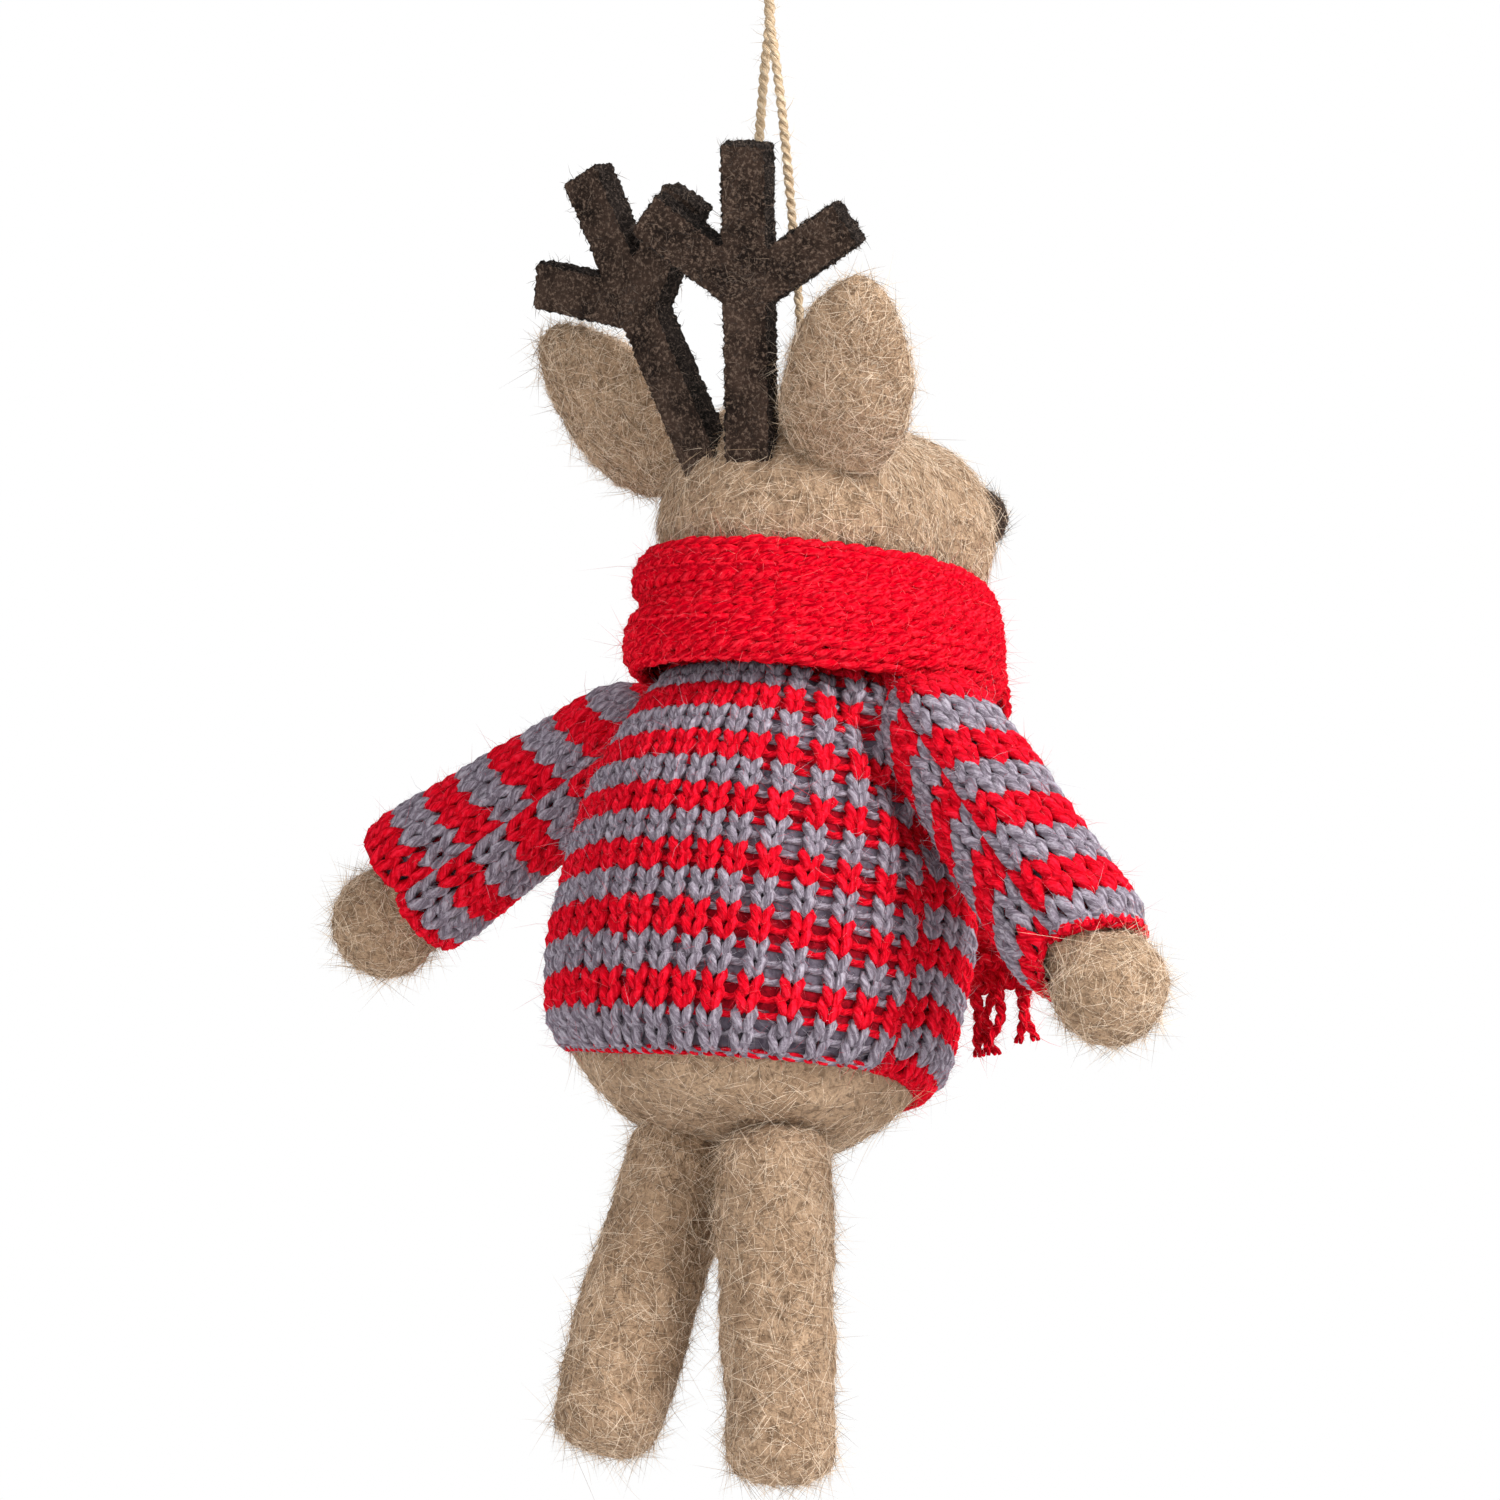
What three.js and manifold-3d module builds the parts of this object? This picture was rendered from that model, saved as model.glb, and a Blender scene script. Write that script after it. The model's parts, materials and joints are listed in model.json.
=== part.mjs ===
// A knitted reindeer ornament that hangs on a twine loop: felted wool skins over stuffing, die-cut felt
// antlers, a knitted sweater sewn from two panels and two sleeves, and a fringed scarf.
// Millimetres and degrees. +Z is up, the reindeer faces -Y, and left and right are its own, so left is +X.

import * as THREE from 'three';
import { mergeVertices } from 'three/addons/utils/BufferGeometryUtils.js';
import Module from 'manifold-3d';

const wasm = await Module();
wasm.setup();

// Fits
const CLEARANCE = 0.3;
const SKIN = 1.8;
const LIMB_SKIN = 1.3;
const SEWN_MOUTH_RADIUS = 1.6;
const NECK_MOUTH_RADIUS = 4.5;

// How the figure hangs: it leans forward, and its head is sewn on level
const FIGURE_LEAN = 14;
const HEAD_TILT_BACK = 14;

// Torso: two half ellipsoids on one widest ring, open at the neck
const TORSO_RADIUS = 20;
const TORSO_RISE = 35.5;
const TORSO_DROP = 19.6;
const NECK_HEIGHT = 33;

// Head: a skull drawn out forwards into a muzzle, with a felt nose and two bead eyes
const SKULL_RADIUS = 14.4;
const MUZZLE_RADIUS = 11.2;
const MUZZLE_FORWARD = 15.8;
const HEAD_HEIGHT = 45;
const HEAD_BACKSET = 5;
const NOSE_HALF_SIZES = { across: 7, along: 4.2, up: 4.2 };
const NOSE_UP = 14;
const EYE_RADIUS = 1.5;
const EYE_SINK = 0.4;
const EYE_ASIDE = 25;
const EYE_UP = 46;

// Ears: plump leaves, sewn to the back of the head
const EAR_LENGTH = 22.5;
const EAR_WIDTH = 13.6;
const EAR_THICKNESS = 6.6;
const EAR_BEHIND_SIDE = 30;
const EAR_UP = 24;
const EAR_SPLAY = { left: 36, right: 24 };
const EAR_LEAN_BACK = { left: 26, right: 22 };
const EAR_TURN = { left: 8, right: 30 };

// Antlers: one flat felt cutting each, a stem with two side tines
const ANTLER_LENGTH = 32;
const ANTLER_BRANCH_WIDTH = 5;
const ANTLER_FELT = 3;
const ANTLER_FORK_HEIGHT = 16.5;
const ANTLER_TINE_LENGTH = 13.6;
const ANTLER_TINE_ANGLE = 55;
const ANTLER_BASE_SPACING = 6.6;
const ANTLER_BASE_UP = 33;
const ANTLER_SPLAY = { left: 21, right: 10 };
const ANTLER_LEAN_BACK = { left: 10, right: 14 };
const ANTLER_TURN = { left: 1, right: 18 };

// Arms and sleeves
const ARM_RADIUS = 4.4;
const PAW_RADIUS = 5.8;
const ARM_LENGTH = 36.5;
const SHOULDER_HEIGHT = 23;
const SHOULDER_BACK = 1.5;
const SHOULDER_OUT = 2.4;
const ARM_SPLAY = { left: 58, right: 42 };
const ARM_SWING = { left: 2, right: -8 };
const SLEEVE_THICKNESS = 1.9;
const SLEEVE_CUFF_RADIUS = 7.6;
const SLEEVE_SHORT_OF_PAW = 6;

// Legs
const LEG_RADIUS = 5.6;
const LEG_LENGTH = { left: 31.5, right: 33.5 };
const LEG_TOE_ROUNDING = 4;
const HIP_SPACING = 14.8;
const HIP_BACK = 2.1;
const HIP_SEAT_DEPTH = 1.2;
const LEG_SPLAY = 2.5;
const LEG_SWING = { left: 1, right: -14 };

// Sweater body
const SWEATER_THICKNESS = 2.2;
const SWEATER_HEM_BELOW = 12.5;
const SWEATER_HEM_RADIUS = 21.2;
const SWEATER_BACK_DROP = 2.5;
const SWEATER_NECK_HEIGHT = 29;

// Scarf: an oval wrap, longer from front to back
const SCARF_WIDTH = 13;
const SCARF_THICKNESS = 2.2;
const SCARF_HALF_ACROSS = 17.6;
const SCARF_HALF_ALONG = 21.2;
const SCARF_TILT_BACK = 8;
const SCARF_LOWER_FLARE = 0.8;
const LAP_FROM = -44;
const LAP_TO = 26;
const LAP_BELOW_WRAP = 1.6;
const TAIL_WIDTH = 11;
const TAIL_LENGTH = { left: 26.5, right: 26.5 };
const TAIL_BEARING = { left: -28, right: 12 };
const TAIL_DRIFT = { left: 0, right: 8 };
const TAIL_WAVE = 0.7;
const FRINGE_STRANDS = 6;
const FRINGE_LENGTH = 8;
const FRINGE_STRAND_RADIUS = 0.55;
const FRINGE_HEADER = 1.6;

// Hanging loop of twine: its route from the left end to the top, which the right half mirrors
const TWINE_RADIUS = 0.55;
const LOOP_STANDOFF = 0.8;
const CROWN_BACK = 13;
const LOOP_HALF_ROUTE = [
  [3.8, 0, -47.6],
  [3.35, 0, -41],
  [2.8, -0.05, -33],
  [2.2, -0.1, -25],
  [1.55, -0.25, -17.5],
  [0.95, -0.45, -12],
  [0.6, -0.62, -9],
  [0.75, -0.85, -6.6],
  [1.3, -1.55, -3.9],
  [1.4, -1.7, -1.7],
  [0.85, -1.05, 0],
];
const LOOP_FORWARD = 1.5;
const LOOP_TOP = [0, 0, TWINE_RADIUS];
const KNOT_RADIUS = 2.2;
const KNOT_DEPTH = 7;

const SIDES = [
  { name: 'left', sign: 1 },
  { name: 'right', sign: -1 },
];

// Mesh fineness
const SKIN_SEGMENTS = 24;
const STUFFING_SEGMENTS = 16;
const LIMB_SEGMENTS = 14;
const KNIT_SEGMENTS = 36;
const DOME_STEPS = 5;

const FAR = 200;

const radians = THREE.MathUtils.degToRad;
const vector = (x, y, z) => new THREE.Vector3(x, y, z);
const steps = (count, value) => Array.from({ length: count + 1 }, (_, i) => value(i / count));

// Turning a closed three.js geometry into a solid that can be joined and cut, and back again

function signedVolume(positions, triangles) {
  const corner = (index) => vector().fromArray(positions, 3 * index);
  let volume = 0;
  for (let i = 0; i < triangles.length; i += 3) {
    const [a, b, c] = [0, 1, 2].map((k) => corner(triangles[i + k]));
    volume += a.dot(b.cross(c)) / 6;
  }
  return volume;
}

function solid(geometry) {
  const bare = geometry.clone();
  bare.deleteAttribute('normal');
  bare.deleteAttribute('uv');
  const merged = mergeVertices(bare, 1e-4);
  const positions = merged.attributes.position.array;
  const triangles = [];
  for (let i = 0; i < merged.index.count; i += 3) {
    const [a, b, c] = merged.index.array.slice(i, i + 3);
    if (a !== b && b !== c && c !== a) {
      triangles.push(a, b, c);
    }
  }
  if (signedVolume(positions, triangles) < 0) {
    triangles.reverse();
  }
  const mesh = new wasm.Mesh({
    numProp: 3,
    vertProperties: new Float32Array(positions),
    triVerts: new Uint32Array(triangles),
  });
  return new wasm.Manifold(mesh);
}

function geometryOf(body) {
  const { vertProperties, triVerts } = body.getMesh();
  const geometry = new THREE.BufferGeometry();
  geometry.setAttribute('position', new THREE.BufferAttribute(vertProperties, 3));
  geometry.setIndex(new THREE.BufferAttribute(triVerts, 1));
  return geometry;
}

const placed = (geometry, matrix) => geometry.clone().applyMatrix4(matrix);
const cutBy = (body, ...geometries) => geometries.reduce((rest, cut) => rest.subtract(solid(cut)), body);

// Basic forms, revolved about +Z

function revolved(profile, segments) {
  const points = profile.map(([radius, height]) => new THREE.Vector2(radius, height));
  return new THREE.LatheGeometry(points, segments).rotateX(Math.PI / 2);
}

function ellipsoid(across, along, up, segments) {
  const ball = new THREE.SphereGeometry(1, segments, Math.round(segments * 0.6));
  return ball.rotateX(Math.PI / 2).scale(across, along, up);
}

const ball = (radius, segments) => ellipsoid(radius, radius, radius, segments);

function rod(radius, from, to, segments) {
  const span = to.clone().sub(from);
  const turn = new THREE.Quaternion().setFromUnitVectors(vector(0, 1, 0), span.clone().normalize());
  const cylinder = new THREE.CylinderGeometry(radius, radius, span.length(), segments);
  return cylinder.applyQuaternion(turn).translate(...from.clone().add(to).multiplyScalar(0.5));
}

function yarnTube(radius, points, sides, count) {
  const corners = steps(sides, (share) => 2 * Math.PI * share).slice(1);
  const section = new THREE.Shape(
    corners.map((angle) => new THREE.Vector2(radius * Math.cos(angle), radius * Math.sin(angle))),
  );
  const extrudePath = new THREE.CatmullRomCurve3(points);
  return new THREE.ExtrudeGeometry(section, { steps: count, extrudePath, bevelEnabled: false });
}

// Everything above a height, as a cutting block
const blockAbove = (height) => new THREE.BoxGeometry(FAR, FAR, FAR).translate(0, 0, height + FAR / 2);

// A quarter ellipse of profile points, from the axis out to the ring, without the ring itself
function domeProfile(radius, ring, height, count = DOME_STEPS) {
  const arc = steps(count, (share) => {
    const angle = share * (Math.PI / 2);
    return [radius * Math.sin(angle), ring + height * Math.cos(angle)];
  });
  return arc.slice(0, -1);
}

// Materials

const finish = (color, roughness = 0.95) => new THREE.MeshStandardMaterial({ color, roughness, metalness: 0 });
const wool = () => finish('#8d7860');
const stuffing = () => finish('#ece6da');
const darkFelt = () => finish('#33271f');
const redYarn = () => finish('#c8141e');
const stripedYarn = () => finish('#a83a48');
const twine = () => finish('#c3a173');
const bead = () => finish('#0d0b0b', 0.15);

function piece(name, body, material) {
  const geometry = body.isBufferGeometry ? body : geometryOf(body);
  const mesh = new THREE.Mesh(geometry, material);
  mesh.name = name;
  return mesh;
}

function groupAt(matrix) {
  const group = new THREE.Group();
  matrix.decompose(group.position, group.quaternion, group.scale);
  return group;
}

// Torso and what is measured from it

const torsoRadius = (height) => {
  const reach = height > 0 ? TORSO_RISE : TORSO_DROP;
  return TORSO_RADIUS * Math.sqrt(Math.max(0, 1 - (height / reach) ** 2));
};

function torsoForm(shrink, segments = SKIN_SEGMENTS) {
  const radius = TORSO_RADIUS - shrink;
  const below = domeProfile(radius, 0, -(TORSO_DROP - shrink));
  const above = domeProfile(radius, 0, TORSO_RISE - shrink, DOME_STEPS + 3).reverse();
  return revolved([...below, [radius, 0], ...above], segments);
}

const hipPivot = (side) => {
  const across = (side.sign * HIP_SPACING) / 2;
  const reach = Math.hypot(across, HIP_BACK) / TORSO_RADIUS;
  const surface = -TORSO_DROP * Math.sqrt(1 - reach ** 2);
  return vector(across, HIP_BACK, surface - (LEG_RADIUS + CLEARANCE - HIP_SEAT_DEPTH));
};

const sweaterInner = (height) => {
  if (height >= 0) {
    return torsoRadius(height) + CLEARANCE;
  }
  const widest = TORSO_RADIUS + CLEARANCE;
  const hem = SWEATER_HEM_RADIUS - SWEATER_THICKNESS;
  return widest - (widest - hem) * (height / SWEATER_HEM_BELOW) ** 2;
};

const shoulderPivot = (side) => {
  const out = sweaterInner(SHOULDER_HEIGHT) + SWEATER_THICKNESS + SHOULDER_OUT;
  return vector(side.sign * out, SHOULDER_BACK, SHOULDER_HEIGHT);
};

// A limb hangs from its pivot along its own -Z, splayed sideways and swung about the X axis
function limbMatrix(pivot, side, splay, swing) {
  const turn = new THREE.Euler(radians(swing), -side.sign * radians(splay), 0);
  const rotation = new THREE.Quaternion().setFromEuler(turn);
  return new THREE.Matrix4().compose(pivot, rotation, vector(1, 1, 1));
}

const legMatrix = (side) => limbMatrix(hipPivot(side), side, LEG_SPLAY, LEG_SWING[side.name]);
const armMatrix = (side) => limbMatrix(shoulderPivot(side), side, ARM_SPLAY[side.name], ARM_SWING[side.name]);

function makeTorso() {
  const seats = SIDES.flatMap((side) => [
    placed(ball(LEG_RADIUS + CLEARANCE, 20), legMatrix(side)),
    placed(ball(ARM_RADIUS + CLEARANCE, 20), armMatrix(side)),
  ]);
  const trim = [blockAbove(NECK_HEIGHT), placed(headRoom(), headMatrix)];
  const skin = cutBy(solid(torsoForm(0)), torsoForm(SKIN), ...trim, ...seats);
  const fill = cutBy(solid(torsoForm(SKIN + CLEARANCE, STUFFING_SEGMENTS)), ...trim);
  return [piece('torso_skin', skin, wool()), piece('torso_stuffing', fill, stuffing())];
}

// Legs: a ball at the hip, a straight tube and a softly rounded toe

function legForm(side, shrink) {
  const radius = LEG_RADIUS - shrink;
  const toe = -(LEG_LENGTH[side.name] - shrink);
  const ring = -(LEG_LENGTH[side.name] - LEG_TOE_ROUNDING);
  const hipBall = domeProfile(radius, 0, radius);
  const sole = domeProfile(radius, ring, toe - ring, 4).reverse();
  return revolved([...hipBall, [radius, 0], [radius, ring], ...sole], LIMB_SEGMENTS);
}

function makeLeg(side) {
  const mouth = rod(SEWN_MOUTH_RADIUS, vector(0, 0, 0), vector(0, 0, 2 * LEG_RADIUS), 8);
  const skin = cutBy(solid(legForm(side, 0)), legForm(side, LIMB_SKIN), mouth);
  const leg = groupAt(legMatrix(side));
  leg.add(piece(`${side.name}_leg_skin`, skin, wool()));
  leg.add(piece(`${side.name}_leg_stuffing`, solid(legForm(side, LIMB_SKIN + CLEARANCE)), stuffing()));
  return leg;
}

// Arms: a ball at the shoulder that is sewn into the torso's side, and a fuller paw

function armForm(shrink) {
  const root = ARM_RADIUS - shrink;
  const paw = PAW_RADIUS - shrink;
  const shoulderBall = domeProfile(root, 0, root);
  const tip = domeProfile(paw, -ARM_LENGTH, -paw).reverse();
  const wrist = [root, -(ARM_LENGTH - 2 * PAW_RADIUS)];
  return revolved([...shoulderBall, [root, 0], wrist, [paw, -ARM_LENGTH], ...tip], LIMB_SEGMENTS);
}

function makeArm(side) {
  const pivot = shoulderPivot(side);
  const inwards = pivot.clone().setX(pivot.x - 2 * side.sign * ARM_RADIUS);
  const mouth = placed(rod(SEWN_MOUTH_RADIUS, pivot, inwards, 12), armMatrix(side).invert());
  const skin = cutBy(solid(armForm(0)), armForm(LIMB_SKIN), mouth);
  const arm = groupAt(armMatrix(side));
  arm.add(piece(`${side.name}_arm_skin`, skin, wool()));
  arm.add(piece(`${side.name}_arm_stuffing`, solid(armForm(LIMB_SKIN + CLEARANCE)), stuffing()));
  arm.add(piece(`${side.name}_sleeve`, sleeveBody(side), stripedYarn()));
  return arm;
}

// Sleeves: a tube round the arm, ball-ended at the armhole and wider at the cuff

const SLEEVE_ROOT_RADIUS = ARM_RADIUS + CLEARANCE + SLEEVE_THICKNESS;
const SLEEVE_LENGTH = ARM_LENGTH - SLEEVE_SHORT_OF_PAW;

function sleeveForm(shrink, length) {
  const root = SLEEVE_ROOT_RADIUS - shrink;
  const cuff = SLEEVE_CUFF_RADIUS - shrink;
  const rootBall = domeProfile(root, 0, root);
  return revolved([...rootBall, [root, 0], [cuff, -length], [0, -length]], LIMB_SEGMENTS + 2);
}

function sleeveBody(side) {
  const toArm = armMatrix(side).invert();
  const lining = sleeveForm(SLEEVE_THICKNESS, SLEEVE_LENGTH + CLEARANCE);
  const rootPlane = sweaterInner(SHOULDER_HEIGHT - SLEEVE_ROOT_RADIUS);
  const inside = new THREE.BoxGeometry(FAR, FAR, FAR).translate(side.sign * (rootPlane - FAR / 2), 0, 0);
  const whole = solid(sleeveForm(0, SLEEVE_LENGTH));
  return cutBy(whole, lining, armForm(-CLEARANCE), placed(inside, toArm));
}

// The room a sleeve takes as it swings: its ball and its inner edge, revolved about the swing axis
function armhole(side) {
  const splay = radians(ARM_SPLAY[side.name]);
  const radius = Math.max(SLEEVE_ROOT_RADIUS, SLEEVE_CUFF_RADIUS) + CLEARANCE;
  const innerBall = steps(DOME_STEPS, (share) => {
    return [radius * Math.sin(splay * share), radius * Math.cos(splay * share)];
  });
  const reach = SLEEVE_LENGTH * Math.cos(splay);
  const rim = [reach, radius / Math.cos(splay) - reach * Math.tan(splay)];
  const room = revolved([...innerBall, rim, [0, rim[1]]], SKIN_SEGMENTS);
  return room.rotateY((-side.sign * Math.PI) / 2).translate(...shoulderPivot(side));
}

// Sweater body: one shell round the torso, cut into a front and a back panel at the side seams

function sweaterShell() {
  const heights = steps(8, (share) => -SWEATER_HEM_BELOW + (SWEATER_NECK_HEIGHT + SWEATER_HEM_BELOW) * share);
  const inner = heights.map((height) => [sweaterInner(height), height]);
  const outer = inner.map(([radius, height]) => [radius + SWEATER_THICKNESS, height]).reverse();
  const shell = revolved([...inner, ...outer, inner[0]], KNIT_SEGMENTS);
  const position = shell.attributes.position;
  for (let i = 0; i < position.count; i += 1) {
    const point = vector().fromBufferAttribute(position, i);
    const towardsHem = THREE.MathUtils.clamp(-point.z / SWEATER_HEM_BELOW, 0, 1);
    const towardsBack = Math.max(0, point.y / Math.hypot(point.x, point.y));
    position.setZ(i, point.z - SWEATER_BACK_DROP * towardsHem * towardsBack);
  }
  return shell;
}

function makeSweater() {
  const shell = cutBy(solid(sweaterShell()), ...SIDES.map(armhole));
  const half = (sign) => new THREE.BoxGeometry(FAR, FAR, FAR).translate(0, (sign * (FAR - CLEARANCE)) / 2, 0);
  return [
    piece('sweater_front', cutBy(shell, half(1)), stripedYarn()),
    piece('sweater_back', cutBy(shell, half(-1)), stripedYarn()),
  ];
}

// Head, face, ears and antlers, in a frame at the skull's centre that stays level

const headMatrix = new THREE.Matrix4()
  .makeRotationX(-radians(HEAD_TILT_BACK))
  .setPosition(0, HEAD_BACKSET, HEAD_HEIGHT);

// A ball at the back and a smaller one in front, joined by the cone that touches both
function headForm(shrink, segments = SKIN_SEGMENTS) {
  const skull = SKULL_RADIUS - shrink;
  const muzzle = MUZZLE_RADIUS - shrink;
  const slope = Math.asin((SKULL_RADIUS - MUZZLE_RADIUS) / MUZZLE_FORWARD);
  const arc = (radius, centre, from, to, count) =>
    steps(count, (share) => {
      const angle = from + (to - from) * share;
      return [Math.max(0, radius * Math.cos(angle)), centre + radius * Math.sin(angle)];
    });
  const back = arc(skull, 0, -Math.PI / 2, slope, 8);
  const front = arc(muzzle, MUZZLE_FORWARD, slope, Math.PI / 2, 4);
  return revolved([...back, ...front], segments).rotateX(Math.PI / 2);
}

const headRoom = () => headForm(-CLEARANCE);

// The crown is where the twine comes out, on the swing axis just above the skull
const LOOP_END = LOOP_HALF_ROUTE[0];
const LOOP_SLANT = -LOOP_FORWARD / LOOP_END[2];
const crown = (outside) => {
  const reach = Math.sqrt((SKULL_RADIUS + outside) ** 2 - LOOP_END[0] ** 2);
  return vector(0, reach * Math.sin(radians(CROWN_BACK)), reach * Math.cos(radians(CROWN_BACK)));
};

function knotTail(side, radius, past) {
  const start = crown(-KNOT_DEPTH).setX((side.sign * KNOT_RADIUS) / 2);
  const end = crown(0).setX(side.sign * LOOP_END[0]);
  return rod(radius, start, end.lerp(start, -past), 8);
}

function makeKnot() {
  const knot = new THREE.TorusKnotGeometry(KNOT_RADIUS, TWINE_RADIUS, 36, 5).translate(...crown(-KNOT_DEPTH));
  const tails = SIDES.map((side) => solid(knotTail(side, TWINE_RADIUS, 0)));
  return piece('loop_knot', tails.reduce((whole, tail) => whole.add(tail), solid(knot)), twine());
}

function makeHeadBall() {
  const toHead = headMatrix.clone().invert();
  const neckMouth = rod(NECK_MOUTH_RADIUS, vector(0, 0, 0), vector(0, 0, HEAD_HEIGHT), 16);
  const channels = SIDES.map((side) => knotTail(side, TWINE_RADIUS + CLEARANCE, 0.3));
  const pocket = ball(KNOT_RADIUS * 1.5 + TWINE_RADIUS + CLEARANCE, 12).translate(...crown(-KNOT_DEPTH));
  const skin = cutBy(solid(headForm(0)), headForm(SKIN), placed(neckMouth, toHead), ...channels);
  const fill = cutBy(solid(headForm(SKIN + CLEARANCE, STUFFING_SEGMENTS)), pocket, ...channels);
  return [piece('head_skin', skin, wool()), piece('head_stuffing', fill, stuffing())];
}

function makeFace() {
  const noseUp = radians(NOSE_UP);
  const nose = ellipsoid(...Object.values(NOSE_HALF_SIZES), 14);
  nose.translate(0, -MUZZLE_FORWARD - MUZZLE_RADIUS * Math.cos(noseUp), MUZZLE_RADIUS * Math.sin(noseUp));
  const face = [piece('nose', cutBy(solid(nose), headRoom()), darkFelt())];
  const eyeUp = radians(EYE_UP);
  const eyeAside = radians(EYE_ASIDE);
  for (const side of SIDES) {
    const level = Math.cos(eyeUp);
    const outward = vector(side.sign * level * Math.sin(eyeAside), -level * Math.cos(eyeAside), Math.sin(eyeUp));
    const place = outward.multiplyScalar(MUZZLE_RADIUS - EYE_SINK);
    const eye = ball(EYE_RADIUS, 12);
    eye.translate(place.x, place.y - MUZZLE_FORWARD, place.z);
    face.push(piece(`${side.name}_eye`, cutBy(solid(eye), headRoom()), bead()));
  }
  return face;
}

function earForm() {
  const profile = steps(10, (share) => {
    const along = (1 - Math.cos(Math.PI * share)) / 2;
    const fullness = Math.sqrt(Math.max(0, Math.sin(Math.PI * along ** 0.75)));
    return [(EAR_WIDTH / 2) * fullness, EAR_LENGTH * along];
  });
  return revolved(profile, LIMB_SEGMENTS).scale(1, EAR_THICKNESS / EAR_WIDTH, 1);
}

function makeEar(side) {
  const up = radians(EAR_UP);
  const behind = radians(EAR_BEHIND_SIDE);
  const level = Math.cos(up);
  const outward = vector(side.sign * level * Math.cos(behind), level * Math.sin(behind), Math.sin(up));
  const turn = new THREE.Euler(
    -radians(EAR_LEAN_BACK[side.name]),
    side.sign * radians(EAR_SPLAY[side.name]),
    radians(EAR_TURN[side.name]),
  );
  const base = outward.multiplyScalar(SKULL_RADIUS - SKIN);
  const matrix = new THREE.Matrix4().makeRotationFromEuler(turn).setPosition(base);
  return piece(`${side.name}_ear`, cutBy(solid(placed(earForm(), matrix)), headRoom()), wool());
}

// The antler's outline: up the stem's right edge, round the right tine and on to the top, then mirrored
function antlerOutline() {
  const half = ANTLER_BRANCH_WIDTH / 2;
  const angle = radians(ANTLER_TINE_ANGLE);
  const along = new THREE.Vector2(Math.sin(angle), Math.cos(angle));
  const across = new THREE.Vector2(Math.cos(angle), -Math.sin(angle));
  const fork = new THREE.Vector2(0, ANTLER_FORK_HEIGHT);
  const tinePoint = (edge, distance) =>
    fork.clone().addScaledVector(across, edge * half).addScaledVector(along, distance);
  const meetsStem = (edge) => (half - edge * half * across.x) / along.x;
  const right = [
    new THREE.Vector2(half, -SKIN),
    tinePoint(1, meetsStem(1)),
    tinePoint(1, ANTLER_TINE_LENGTH),
    tinePoint(-1, ANTLER_TINE_LENGTH),
    tinePoint(-1, meetsStem(-1)),
    new THREE.Vector2(half, ANTLER_LENGTH),
  ];
  const left = right.map((point) => new THREE.Vector2(-point.x, point.y)).reverse();
  return new THREE.Shape([...right, ...left]);
}

function makeAntler(side) {
  const felt = new THREE.ExtrudeGeometry(antlerOutline(), { depth: ANTLER_FELT, bevelEnabled: false });
  felt.translate(0, 0, -ANTLER_FELT / 2).rotateX(Math.PI / 2);
  const turn = new THREE.Euler(
    -radians(ANTLER_LEAN_BACK[side.name]),
    side.sign * radians(ANTLER_SPLAY[side.name]),
    radians(ANTLER_TURN[side.name]),
  );
  const aside = (side.sign * ANTLER_BASE_SPACING) / 2;
  const up = SKULL_RADIUS * Math.sin(radians(ANTLER_BASE_UP));
  const base = vector(aside, Math.sqrt(SKULL_RADIUS ** 2 - aside ** 2 - up ** 2), up);
  const matrix = new THREE.Matrix4().makeRotationFromEuler(turn).setPosition(base);
  return piece(`${side.name}_antler`, cutBy(solid(placed(felt, matrix)), headRoom()), darkFelt());
}

function makeHead() {
  const head = groupAt(headMatrix);
  head.add(...makeHeadBall(), makeKnot(), ...makeFace());
  head.add(...SIDES.map(makeEar), ...SIDES.map(makeAntler));
  return head;
}

// Scarf: a wrap that rests on the shoulders, lapped over itself at the front, with two fringed tails

const scarfBottom = SHOULDER_HEIGHT + SLEEVE_ROOT_RADIUS + 2 * CLEARANCE;
const scarfTop = scarfBottom + SCARF_WIDTH;
const lapBottom = scarfBottom - LAP_BELOW_WRAP;

// A knitted band as an oval ring, counted from the wrap's outer oval: rounded edges, a wider lower edge
function bandRing(outward, bottom, top) {
  const edge = SCARF_THICKNESS / 3;
  const outer = SCARF_HALF_ACROSS + outward;
  const inner = outer - SCARF_THICKNESS;
  const flare = SCARF_LOWER_FLARE;
  const profile = [
    [inner + flare + edge, bottom],
    [outer + flare - edge, bottom],
    [outer + flare, bottom + edge],
    [outer, top - edge],
    [outer - edge, top],
    [inner + edge, top],
    [inner, top - edge],
    [inner + flare, bottom + edge],
  ];
  const ring = revolved([...profile, profile[0]], KNIT_SEGMENTS);
  const position = ring.attributes.position;
  const stretch = SCARF_HALF_ALONG - SCARF_HALF_ACROSS;
  for (let i = 0; i < position.count; i += 1) {
    const reach = Math.hypot(position.getX(i), position.getY(i));
    position.setY(i, (position.getY(i) * (reach + stretch)) / reach);
  }
  return ring;
}

// A point on the oval, at a bearing counted from the front towards the right side
function ovalPoint(bearing, outward, height) {
  const across = -(SCARF_HALF_ACROSS + outward) * Math.sin(radians(bearing));
  const ahead = -(SCARF_HALF_ALONG + outward) * Math.cos(radians(bearing));
  return vector(across, ahead, height);
}

function lapWedge() {
  const corners = steps(4, (share) => ovalPoint(LAP_FROM + (LAP_TO - LAP_FROM) * share, FAR, 0));
  const outline = corners.map((corner) => new THREE.Vector2(corner.x, corner.y));
  const shape = new THREE.Shape([new THREE.Vector2(0, 0), ...outline]);
  return new THREE.ExtrudeGeometry(shape, { depth: FAR, bevelEnabled: false });
}

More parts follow.
